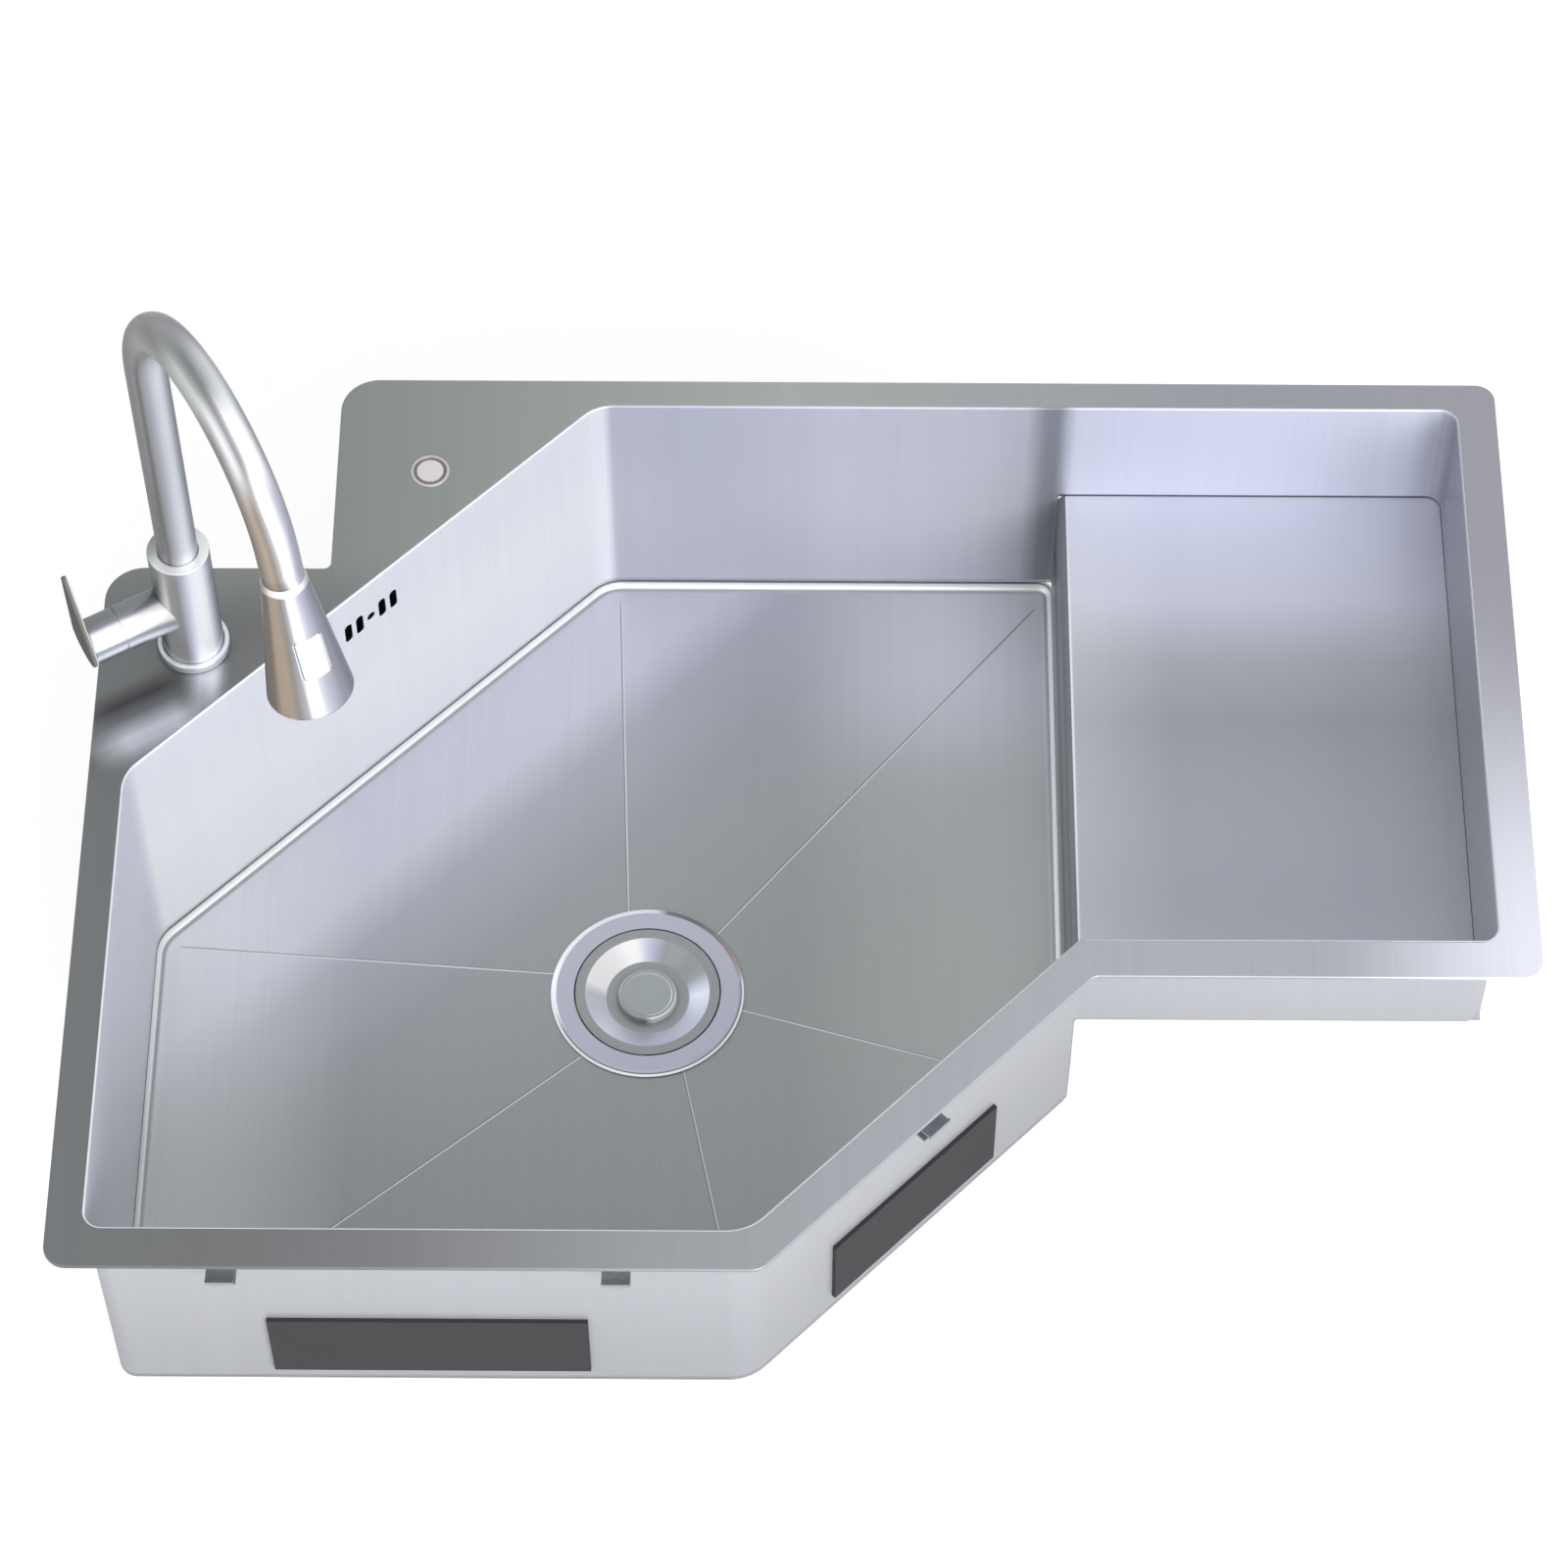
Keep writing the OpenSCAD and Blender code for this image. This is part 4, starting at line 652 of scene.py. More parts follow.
# painted reflections and highlights: tones across each tube, from its left to its right side as seen from the
# front; the arch, head, housing, rings, dock and button carry them too
riserPaintedLight = [(-1.0, (97, 98, 100)), (-0.66, (130, 131, 132)), (-0.48, (100, 101, 102)),
              (-0.32, (146, 147, 151)), (-0.05, (190, 192, 202)), (0.2, (228, 232, 243)),
              (0.42, (246, 250, 255)), (0.58, (238, 242, 252)), (0.76, (186, 190, 200)),
              (0.9, (150, 153, 162)), (1.0, (128, 130, 138))]
bodyPaintedLight = [(-1.0, (60, 62, 60)), (-0.88, (104, 105, 104)), (-0.75, (162, 163, 163)),
             (-0.5, (150, 150, 150)), (-0.25, (140, 141, 144)), (-0.05, (186, 188, 200)),
             (0.2, (240, 243, 255)), (0.45, (255, 255, 255)), (0.62, (250, 252, 255)),
             (0.78, (204, 207, 222)), (0.92, (152, 156, 166)), (1.0, (112, 115, 121))]
archPaintedLight = {
    "top": [(-1.0, (138, 139, 141)), (-0.5, (142, 144, 143)), (0.0, (156, 158, 160)),
            (0.5, (160, 162, 169)), (1.0, (150, 152, 158))],
    "upper": [(-1.0, (150, 153, 148)), (-0.8, (190, 197, 194)), (-0.58, (200, 206, 205)),
              (-0.4, (165, 168, 169)), (-0.15, (128, 131, 131)), (0.0, (130, 133, 133)),
              (0.45, (198, 205, 211)), (0.65, (213, 221, 228)), (0.85, (198, 203, 208)),
              (1.0, (150, 152, 155))],
    "lower": [(-1.0, (108, 109, 108)), (-0.86, (136, 138, 135)), (-0.6, (200, 202, 201)),
              (-0.45, (206, 208, 209)), (-0.16, (138, 138, 143)), (0.0, (172, 171, 180)),
              (0.12, (250, 249, 254)), (0.6, (255, 255, 255)), (0.8, (200, 200, 208)),
              (1.0, (125, 125, 133))],
    "end": [(-1.0, (84, 80, 76)), (-0.85, (145, 133, 121)), (-0.65, (168, 153, 137)),
            (-0.43, (140, 129, 123)), (-0.22, (168, 166, 170)), (0.0, (254, 255, 255)),
            (0.25, (252, 254, 255)), (0.4, (206, 209, 221)), (0.6, (177, 179, 196)),
            (0.9, (162, 164, 174)), (1.0, (122, 122, 130))]}
headPaintedLight = [(-1.0, (72, 66, 60)), (-0.85, (110, 98, 86)), (-0.74, (158, 142, 127)),
             (-0.55, (157, 141, 126)), (-0.36, (129, 125, 122)), (-0.2, (158, 157, 165)),
             (-0.03, (250, 251, 255)), (0.1, (254, 254, 255)), (0.24, (190, 189, 205)),
             (0.44, (166, 168, 183)), (0.85, (150, 152, 165)), (1.0, (120, 121, 132))]
housingPaintedLight = [(-1.0, (96, 99, 105)), (-0.92, (130, 133, 140)), (-0.85, (219, 221, 232)),
                (-0.76, (234, 238, 248)), (-0.69, (190, 197, 208)), (-0.61, (151, 158, 168)),
                (-0.54, (174, 179, 184)), (-0.45, (233, 236, 240)), (-0.38, (255, 255, 255)),
                (0.15, (255, 255, 255)), (0.24, (236, 239, 242)), (0.31, (191, 193, 199)),
                (0.39, (146, 150, 156)), (0.6, (134, 137, 143)), (0.95, (139, 142, 147)),
                (1.0, (122, 125, 130))]
ringPaintedLight = [(-1.0, (120, 122, 124)), (-0.4, (160, 163, 168)), (0.2, (186, 189, 197)),
             (0.7, (196, 199, 208)), (1.0, (140, 142, 150))]
dockPaintedLight = [(-1.0, (120, 116, 112)), (-0.7, (226, 222, 218)), (0.5, (246, 246, 250)),
             (1.0, (170, 171, 178))]
# the blade has no gloss of its own: its dark face and light edge strip are painted shade and a painted
# highlight
bladePaintedLight = [(-1.0, (98, 98, 96)), (-0.75, (150, 150, 152)), (-0.5, (235, 237, 242)),
              (-0.2, (235, 237, 242)), (-0.05, (136, 137, 136)), (0.1, (114, 115, 112)),
              (1.0, (107, 108, 105))]
buttonPaintedLight = [(-1.0, (226, 229, 234)), (0.0, (248, 251, 254)), (1.0, (232, 235, 240))]
# directions in which the painted light runs: across the upright tubes, the arch, the spray head, the housing
# and the blade, and along the tops of the cap and rings
rightward, archward, headward = (0.978, 0.21, 0), (0.88, 0.43, 0.2), (0.965, 0.257, 0.055)
housingward, bladeward, capward = (-0.415, 0.7187, 0.5579), (-0.866, -0.5, 0), (0.707, -0.707, 0)
# painted light over the tops of the rings and the cap, lighter towards the front right
ringTopPaintedLight = [(-0.34, (206, 209, 214)), (-0.29, (236, 238, 243))]
dockTopPaintedLight = [(-0.34, (238, 239, 244)), (-0.29, (238, 239, 244))]
topMask = [(0.7, black), (0.93, white)]
capPaintedLight = [(-0.332, (150, 154, 154)), (-0.322, (172, 177, 176)), (-0.312, (236, 239, 245)),
            (-0.3, (255, 255, 255))]


# Satin chrome: painted reflections as tones by the side that the surface faces, and where it faces up, the
# top's painted light along capward
def chromeMaterial(name, tones, direction=rightward, top=None, **look):
    def colourOf(tree):
        sides = tonesFacing(tree, direction, tones)
        if top is None:
            return sides
        return mixed(tree, tonesFacing(tree, alongZ, topMask), sides, tonesAlong(tree, capward, top))
    return metalMaterial(name, {**chromeLook, **look}, colourOf)


# the spout's way out from the tap's axis, and how far out each stretch of the arch takes over, in metres
outward, tapAxis = (0.5195, -0.8545, 0), (-0.302, 0.139)
stretches = (("top", 0.006, 0.03), ("upper", 0.05, 0.09), ("lower", 0.1, 0.137), ("end", 0.15, 0.175))


# The spout's painted reflections go from the riser's to the arch's along the way from the riser to the spray
# head
def spoutColour(tree):
    start = tapAxis[0] * outward[0] + tapAxis[1] * outward[1]
    colour = tonesFacing(tree, rightward, riserPaintedLight)
    for name, begin, end in stretches:
        reached = tonesAlong(tree, outward, [(start + begin, black), (start + end, white)])
        colour = mixed(tree, reached, colour, tonesFacing(tree, archward, archPaintedLight[name]))
    return colour


wasteLook = {"metallic": 0.35, "rough": 0.32, "streaks": 0.01, "relief": 0.01, "grain": (260.0, 260.0, 260.0),
             # the waste's tones are painted light in rings about its axis, with a dark line and a painted
             # highlight on the flange's bevel
             "rings": [(0.0, (170, 177, 177)), (0.0165, (168, 175, 175)), (0.0205, (152, 158, 159)),
                       (0.029, (156, 161, 163)), (0.0435, (156, 162, 163)), (0.0505, (156, 163, 162)),
                       (0.0515, (190, 194, 210)), (0.0643, (190, 194, 210)), (0.0647, (96, 96, 104)),
                       (0.0651, (96, 96, 104)), (0.0655, (250, 250, 255)), (0.067, (250, 250, 255))],
             # the bevel's painted reflections show from its upper right round to its left
             "bevelReflectionPart": [(-180, white), (-165, white), (-150, black), (5, black), (15, white),
                          (180, white)],
             "bevel": [(-180, (250, 252, 255)), (-90, (238, 240, 248)), (0, (248, 250, 255)),
                       (12, (190, 184, 182)), (30, (156, 145, 138)), (60, (116, 111, 110)),
                       (78, (126, 126, 134)), (86, (250, 250, 255)), (180, (255, 255, 255))],
             # the lid's cone and the knob's rim carry painted light and shade by their direction from the axis
             "cone": [(-180, (206, 211, 218)), (-160, (215, 219, 228)), (-130, (244, 247, 255)),
                      (-95, (212, 214, 230)), (-30, (218, 222, 238)), (2, (224, 228, 242)),
                      (22, (168, 173, 178)), (45, (148, 153, 154)), (72, (154, 156, 164)),
                      (90, (208, 209, 232)), (102, (254, 254, 255)), (168, (255, 255, 255)),
                      (180, (206, 211, 218))],
             "rim": [(-180, (182, 184, 188)), (-120, (150, 146, 146)), (-95, (150, 148, 150)),
                     (-78, (255, 255, 255)), (-10, (255, 255, 255)), (30, (214, 218, 222)),
                     (180, (190, 194, 198))],
             # where the bevel, the lid's cone and the knob's rim lie, and what slopes there
             "bevelMask": [(0.0, black), (0.0605, black), (0.0625, white), (0.067, white)],
             "coneMask": [(0.0, black), (0.0285, black), (0.0292, white), (0.0428, white),
                          (0.0435, black), (0.067, black)],
             "rimMask": [(0.0, black), (0.0162, black), (0.0172, white), (0.0204, white),
                         (0.0206, black), (0.067, black)],
             "slopeMask": [(0.955, white), (0.995, black)]}


# The waste: painted light in rings by distance from the axis, with painted light and shade on the slopes by
# their direction from it
def wasteColour(tree):
    axis = (0, 0, 0)
    rings = tonesFrom(tree, axis, wasteLook["rings"])
    sloped = tonesFacing(tree, alongZ, wasteLook["slopeMask"])
    bevelReflectionPart = product(tree, product(tree, tonesFrom(tree, axis, wasteLook["bevelMask"]), sloped),
                       tonesAround(tree, axis, wasteLook["bevelReflectionPart"]))
    coned = tonesFrom(tree, axis, wasteLook["coneMask"])
    rimmed = product(tree, tonesFrom(tree, axis, wasteLook["rimMask"]), sloped)
    colour = mixed(tree, bevelReflectionPart, rings, tonesAround(tree, axis, wasteLook["bevel"]))
    colour = mixed(tree, coned, colour, tonesAround(tree, axis, wasteLook["cone"]))
    return mixed(tree, rimmed, colour, tonesAround(tree, axis, wasteLook["rim"]))


badgeLook = {"metallic": 0.4, "rough": 0.42, "streaks": 0.05, "relief": 0.05, "grain": (400.0, 400.0, 400.0),
             "centre": (-0.150, 0.2835, 0.0),
             "rings": [(0.0, (226, 220, 221)), (0.0088, (224, 218, 219)), (0.0094, (128, 124, 124)),
                       (0.0110, (118, 114, 114)), (0.0116, (196, 193, 192)), (0.0134, (206, 204, 203))]}


# The badge: its middle, groove and rim as rings about its axis
def badgeColour(tree):
    return tonesFrom(tree, badgeLook["centre"], badgeLook["rings"])


badgeSteel = metalMaterial("badgeSteel", badgeLook, badgeColour)
deckSteel = metalMaterial("deckSteel", deckLook, deckColour)
wallSteel = metalMaterial("wallSteel", wallLook, wallColour)
floorSteel = metalMaterial("floorSteel", floorLook, floorColour)
shelfSteel = metalMaterial("shelfSteel", shelfLook, shelfColour)
wasteSteel = metalMaterial("wasteSteel", wasteLook, wasteColour)
creaseSteel = metalMaterial("creaseSteel", floorLook, creaseColour)
outerSteel = metalMaterial("outerSteel", wallLook, outerColour)
spoutChrome = metalMaterial("spoutChrome", chromeLook, spoutColour)
bodyChrome = chromeMaterial("bodyChrome", bodyPaintedLight, top=capPaintedLight)
housingChrome = chromeMaterial("housingChrome", housingPaintedLight, housingward)
ringChrome = chromeMaterial("ringChrome", ringPaintedLight, top=ringTopPaintedLight)
dockChrome = chromeMaterial("dockChrome", dockPaintedLight, top=dockTopPaintedLight)
headChrome = chromeMaterial("headChrome", headPaintedLight, headward)
bladeChrome = chromeMaterial("bladeChrome", bladePaintedLight, bladeward, metallic=0.0, specular=0.0, rough=0.4)
buttonChrome = chromeMaterial("buttonChrome", buttonPaintedLight, metallic=0.2)


# the other finishes: a dark and a light colour that the noise mixes, and the span of the roughness
plainLooks = {
    "bright": {"metallic": 0.8, "grain": (300.0,) * 3, "relief": 0.03, "dark": (178, 180, 188),
               "light": (204, 206, 214), "rough": (0.2, 0.34)},
    "zinc": {"metallic": 0.9, "grain": (300.0,) * 3, "relief": 0.1, "dark": (150, 152, 156),
             "light": (196, 198, 202), "rough": (0.3, 0.5)},
    "rubber": {"grain": (900.0,) * 3, "relief": 0.3, "dark": (30, 30, 32), "light": (52, 52, 55),
               "rough": (0.65, 0.85)},
    "brass": {"metallic": 1.0, "grain": (250.0,) * 3, "relief": 0.08, "dark": (176, 146, 88),
              "light": (212, 184, 124), "rough": (0.25, 0.42)},
    "plastic": {"grain": (700.0,) * 3, "relief": 0.12, "dark": (62, 64, 68), "light": (84, 86, 91),
                "rough": (0.38, 0.55)},
}
slotMaterials = {name: plainMaterial(name, look) for name, look in plainLooks.items()}
slotMaterials["steel"] = wallSteel
slotOfNode = {part["node"]: part["material_slot"] for part in frame["record"]["subparts"]}
for nodeName, piece in nodes.items():
    paint(piece, slotMaterials[slotOfNode[nodeName]])
print("materials made")


# the deck and the bowl in millimetres from the deck's front left corner, and heights from its underside
deck = {"waste": (365, 328), "width": 950, "depth": 690, "front": 447, "slant": 213, "notch": (151, 530),
        "radii": [15, 15, 9, 13, 13, 26, 5, 26], "top": 3.0, "edge": 0.9, "support": 0.6, "inward": 0.4}
bowl = {"left": 24, "right": 922, "back": 667.5, "frontRim": 28.5, "slantRim": 26, "rear": 304,
        "radii": [11, 34, 2.5, 11, 11, 28, 28], "bend": 1.6, "sheet": 1.2, "floor": -214.0, "seat": -220.0,
        "floorRadii": [11, 34, 10, 10, 28, 28], "floorBend": 7.0, "shelf": -99.0, "noseBend": 7.0,
        # the wall's foot jumps up to the shelf between the first and last of these distances past the step
        "jump": (0.2, 0.28, 0.35), "wallShares": (0.3, 0.65, 0.97, 1.0), "overlap": 0.4,
        "floorShares": (0.004, 0.15, 0.35, 0.6, 0.85, 0.99, 1.0), "seatEdge": 69.0, "seatRadii": (68.0, 54.0)}
slantShift = deck["front"] - bowl["slantRim"] * math.sqrt(2)
stepX, shelfFront = slantShift + deck["slant"] + bowl["frontRim"], deck["slant"] + bowl["frontRim"]
toWaste = -np.array(deck["waste"], float)


# The plan corners of the deck and of the bowl, with the waste's axis as origin.
def planCorners():
    width, depth, front, slant = deck["width"], deck["depth"], deck["front"], deck["slant"]
    notchX, notchY = deck["notch"]
    left, right, back, rim = bowl["left"], bowl["right"], bowl["back"], bowl["frontRim"]
    outer = [(0, 0), (front, 0), (front + slant, slant), (width, slant), (width, depth), (notchX, depth),
             (notchX, notchY), (0, notchY)]
    inner = [(left, rim), (slantShift + rim, rim), (stepX, shelfFront), (right, shelfFront), (right, back),
             (left + bowl["rear"], back), (left, back - bowl["rear"])]
    return np.array(outer, float) + toWaste, np.array(inner, float) + toWaste


deckCorners, bowlCorners = planCorners()
floorCorners = np.vstack([bowlCorners[:3], [[stepX, bowl["back"]] + toWaste], bowlCorners[5:]])
boxCorners = np.array([(-1, -1), (1, -1), (1, 1), (-1, 1)])


# The deck's outline, with every edge moved outwards by a distance.
def deckOutline(grow):
    return outlineAt(deckCorners, deck["radii"], grow)


# The bowl's outline just below its rolled edge, moved outwards in the same way.
def bowlOutline(grow):
    return outlineAt(bowlCorners, bowl["radii"], grow)


# The floor's outline, which runs straight on under the shelf's step, moved outwards in the same way.
def floorOutline(grow):
    return outlineAt(floorCorners, bowl["floorRadii"], grow)


# The deck plate: outlines from the bowl's edge out under the plate, round its edge and back over the top.
def makeDeck():
    top, edge, bend = deck["top"], deck["edge"], bowl["bend"]
    angles = anglesOf(deckOutline(0), bowlOutline(bend))

    def row(outline, z):
        return level(rayPoints(outline, angles), z)
    rows = [row(bowlOutline(bend), 0.0), row(deckOutline(-edge), 0.0), row(deckOutline(0), edge / 2)]
    rows += [row(deckOutline(edge * (math.cos(a) - 1)), top - edge + edge * math.sin(a)) for a in quarter(5)]
    rows += [row(deckOutline(-edge - deck["support"]), top), row(bowlOutline(bend + deck["inward"]), top)]
    rows += [row(bowlOutline(bend), top)]
    return gridObject("deckPlate", np.array(rows), closedAlong=True)


slots = {"azimuth": 135.0, "z": -34.0, "pitch": 10.2, "width": 6.5, "height": 19.0, "round": 7.0,
         "cell": 24.0, "places": (-2, -1, 0, 1, 2), "across": 12, "down": 24, "straight": 0.01, "steps": 16,
         "growth": (0, 0.08, 0.5, 1)}
slotAngle = math.radians(slots["azimuth"])
slotWay = np.array([math.cos(slotAngle), math.sin(slotAngle)])
slotWall = bowlCorners[5] @ slotWay


# One cell of the slotted wall: rings that grow from the slot's outline to the cell's. The cell's edge points
# are those of the wall's own grid, and each ring's points lie on rays from the cell's middle.
def slotPatch(k):
    size = (slots["round"], slots["round"]) if k == 0 else (slots["width"], slots["height"])
    half = np.array(size) / 2
    hole = filletPath(boxCorners * half, half.min() - slots["straight"], True, slots["steps"])
    x = np.linspace(-0.5, 0.5, slots["across"] + 1) * slots["pitch"]
    z = np.linspace(-0.5, 0.5, slots["down"] + 1) * slots["cell"]
    sides = [(x[:-1], z[0]), (x[-1], z[:-1]), (x[:0:-1], z[-1]), (x[0], z[:0:-1])]
    cell = np.vstack([np.column_stack(np.broadcast_arrays(*side)) for side in sides])
    inner = rayPoints(hole, np.arctan2(cell[:, 1], cell[:, 0]))
    flat = np.array([inner * (1 - t) + cell * t for t in slots["growth"]])
    normal, across = np.array([*slotWay, 0]), np.array([-slotWay[1], slotWay[0], 0])
    aside = flat[..., :1] + k * slots["pitch"]
    grid = normal * slotWall + aside * across + flat[..., 1:] * np.array([0, 0, 1.0])
    grid[..., 2] += slots["z"]
    return gridObject("slotPatch", grid)


# The bowl's walls: the opening's outline carried over the rolled edge and down to the floor or the shelf,
# with a window in its grid for the slots.
def makeWalls():
    top, bend, support = deck["top"], bowl["bend"], deck["support"]
    base, step, (first, between, last) = bowlOutline(0), stepX + toWaste[0], bowl["jump"]
    count = len(slots["places"])
    aside = np.linspace(-count / 2, count / 2, count * slots["across"] + 1) * slots["pitch"]
    cellAngles = (slotAngle + np.arctan2(aside, slotWall)) % (2 * math.pi)
    windowStart, windowEnd = cellAngles.min(), cellAngles.max()
    jump = np.concatenate([crossings(base, step + first), crossings(base, step + last)])
    angles = np.concatenate([anglesOf(base), jump])
    angles = angles[(angles < windowStart - 1e-5) | (angles > windowEnd + 1e-5)]
    angles = np.unique(np.concatenate([angles, cellAngles]))
    inner = rayPoints(base, angles)
    onShelf = inner[:, 0] > step + between
    low = np.where(onShelf, bowl["shelf"] - bowl["sheet"], bowl["floor"] + bowl["floorBend"])
    rows = [level(rayPoints(bowlOutline(bend), angles), top)]
    rows += [level(rayPoints(bowlOutline(bend * (1 - math.sin(a))), angles), top - bend + bend * math.cos(a))
             for a in quarter(6)[1:]]
    rows.append(level(inner, top - bend - support))
    window = len(rows)
    heights = slots["z"] + slots["cell"] * np.linspace(0.5, -0.5, slots["down"] + 1)
    rows += [level(inner, z) for z in heights]
    rows += [level(inner, heights[-1] * (1 - t) + low * t) for t in bowl["wallShares"]]
    skip = np.zeros((len(rows) - 1, len(angles)), bool)
    inWindow = (angles > windowStart - 1e-7) & (angles < windowEnd - 1e-7)
    skip[window:window + slots["down"], inWindow] = True
    skin = gridObject("bowlWalls", np.array(rows), skip=skip)
    walls = joined("bowlWalls", [skin] + [slotPatch(k) for k in slots["places"]])
    weld(walls.data)
    return sheeted(walls, bowl["sheet"])


# The floor: the bend turns in from the walls, then straight lines run to the level seat around the waste.
def makeFloor():
    bend, low, seat = bowl["floorBend"], bowl["floor"], bowl["seat"]
    angles = anglesOf(floorOutline(0), floorOutline(-bend))
    ring = np.stack([np.cos(angles), np.sin(angles)], 1)
    rows = [level(rayPoints(floorOutline(0), angles), low + bend + bowl["overlap"])]
    rows += [level(rayPoints(floorOutline(-bend * (1 - math.cos(a))), angles),
                   low + bend - bend * math.sin(a)) for a in quarter(10)]
    edge, inner = rayPoints(floorOutline(-bend), angles), ring * bowl["seatEdge"]
    rows += [level(edge * (1 - t) + inner * t, low + (seat - low) * t) for t in bowl["floorShares"]]
    rows += [level(ring * radius, seat) for radius in bowl["seatRadii"]]
    return sheeted(gridObject("bowlFloor", np.array(rows)), bowl["sheet"])


shelfRun = {"steps": 10, "support": 1.2, "last": 0.5, "inset": 12, "rows": 12}


# The shelf: one section from the foot of the step, up over the nose and across, drawn from front to back. A
# point just short of the right end keeps the shading level there.
def makeShelf():
    nose, shelf, left = bowl["noseBend"], bowl["shelf"], stepX + toWaste[0]
    right, (front, back) = bowl["right"] + toWaste[0], np.array([shelfFront, bowl["back"]]) + toWaste[1]
    last, inset = shelfRun["last"], shelfRun["inset"]
    corners = [(left, bowl["floor"] + bowl["floorBend"]), (left, shelf), (right - last, shelf),
               (right, shelf)]
    section = filletPath(corners, [0, nose, 0, 0], False, shelfRun["steps"], shelfRun["support"])
    middle = np.linspace(front + inset, back - inset, shelfRun["rows"])
    depth = np.concatenate([[front, front + last], middle, [back - last, back]])[:, None]
    grid = np.stack(np.broadcast_arrays(section[:, 0], depth, section[:, 1]), -1)
    return sheeted(gridObject("shelfPanel", grid, closedAcross=False), bowl["sheet"])


# The floor's height at some plan points, by how far each lies from the seat to the floor's edge.
def floorHeight(points):
    r = np.linalg.norm(points, axis=-1)
    edge = rayPoints(floorOutline(-bowl["floorBend"]), np.arctan2(points[..., 1], points[..., 0]).ravel())
    edge = np.linalg.norm(edge, axis=1).reshape(r.shape)
    t = np.clip((edge - r) / (edge - bowl["seatEdge"]), 0, 1)
    return bowl["floor"] + (bowl["seat"] - bowl["floor"]) * t


# each line runs from the wall to the waste, and ends at the reach from the waste's axis
crease = {"lines": [((-26, 330), (-15.7, 68.1)), ((277.5, 324), (50.4, 50.9)),
                    ((-328, 31.7), (-67.6, 16.1)), ((-328, -284), (-46.6, -52.5)),
                    ((71, -281), (25.6, -61.3)), ((273, -74.9), (66.2, -13.0))],
          "reach": 66.5, "rows": 40, "across": (-1.0, -0.5, -0.2, 0.2, 0.5, 1.0), "slope": 0.5, "foot": 0.9,
          "ridge": 0.6, "fade": 20, "sunk": 0.05}


# The pressed creases: a low ridge with sloped sides along each line, running out at the wall and under the
# flange. Its rise is the slope times the way in from its foot, and no more than the ridge.
def makeCreases():
    strips = []
    u = np.array(crease["across"])[None, :, None]
    t = np.linspace(0, 1, crease["rows"])[:, None, None]
    for start, end in crease["lines"]:
        a, b = np.array(start, float), np.array(end, float) * crease["reach"] / math.hypot(*end)
        along = (b - a) / np.linalg.norm(b - a)
        flat = a + (b - a) * t + np.array([-along[1], along[0]]) * u
        ridge = crease["slope"] * np.clip(crease["foot"] - np.abs(u[..., 0]), 0, crease["ridge"])
        rise = ridge * np.minimum(1, t[..., 0] * crease["fade"]) - crease["sunk"]
        grid = np.concatenate([flat, (floorHeight(flat) + rise)[..., None]], -1)
        strips.append(gridObject("crease", grid, False, flip=True))
    return joined("floorCreases", strips)


badge = {"at": (215.0, 611.5), "radius": 13.3, "thick": 0.8, "rim": 11.4, "centre": 9.4, "slope": 0.3,
         "groove": 0.25, "edge": 0.6, "crown": 0.65, "around": 96,
         "rounding": [0, 0, 0.35, 0.25, 0.1, 0.1, 0.2, 0]}


# The badge: a turned disc with a raised rim, a groove and a plain middle.
def makeBadge():
    b, base, slope = badge, deck["top"], badge["slope"]
    rimTop, groove = base + b["thick"], base + b["groove"]
    corners = [(0, base), (b["radius"], base), (b["radius"], rimTop), (b["rim"], rimTop),
               (b["rim"] - slope, groove), (b["centre"] + slope, groove), (b["centre"], base + b["edge"]),
               (0, base + b["crown"])]
    section = filletPath(corners, b["rounding"], False, 5, 0.1)
    return gridObject("deckBadge", turned(section, b["around"], shift(*(np.array(b["at"]) + toWaste), 0)))


deckPlate, bowlWalls, bowlFloor, shelfPanel = makeDeck(), makeWalls(), makeFloor(), makeShelf()
floorCreases, deckBadge = makeCreases(), makeBadge()
paint(deckBadge, badgeSteel)
paint(floorCreases, creaseSteel)
settle(floorCreases, "sink")
settle(deckBadge, "sink", ["deck_badge"])
paint(deckPlate, deckSteel)
paint(bowlWalls, wallSteel, outerSteel)
paint(bowlFloor, floorSteel, outerSteel)
paint(shelfPanel, shelfSteel, outerSteel)
settle(deckPlate, "sink", ["deck_plate"])
settle(bowlWalls, "sink", ["front_wall", "slanted_front_wall", "shelf_front_wall", "right_wall",
                                    "back_wall", "slanted_rear_wall", "left_wall"])
settle(bowlFloor, "sink", ["bowl_floor"])
settle(shelfPanel, "sink", ["shelf_panel"])
print("deck and bowl made")


tap = {"at": (-302.0, 139.0), "bodyRadius": 20.5, "bodyTop": 113.0, "bodyFoot": 5.5, "capEdge": 0.7,
       "foot": 20, "inset": 0.5, "bore": 13.6, "sunk": 2, "ringRadius": 24.4, "ringHeight": 6.0,
       "ringRound": 2.0, "ringFoot": 4, "ringInner": 20.8, "ringBore": 17.6, "valveHeight": 57.0,
       "valveAngle": 210.0, "housingRadius": 15.9, "housingStart": 4, "housingBore": 15.5, "recess": 6.5,
       "seam": 49.0, "around": 128}
spout = {"angle": -58.7, "radius": 13.3, "wall": 1.3, "riser": 309.0, "arch": 89.5, "sweep": 169.0,
         "tip": 25.6, "foot": 80.0, "low": 118, "high": 60, "near": 1.0, "tipMiddle": 12.0, "rows": 90,
         "around": 96}
spray = {"length": 95.0, "top": 14.8, "mouth": 27.3, "wall": 2.0, "reach": 93.0, "bore": 7.0, "rim": 3.0,
         "recess": 6, "roof": 4, "ring": 5, "gap": 0.3}
atTap = shift(*tap["at"], 0)
atValve = atTap @ shift(0, 0, tap["valveHeight"]) @ rotation("z", tap["valveAngle"])
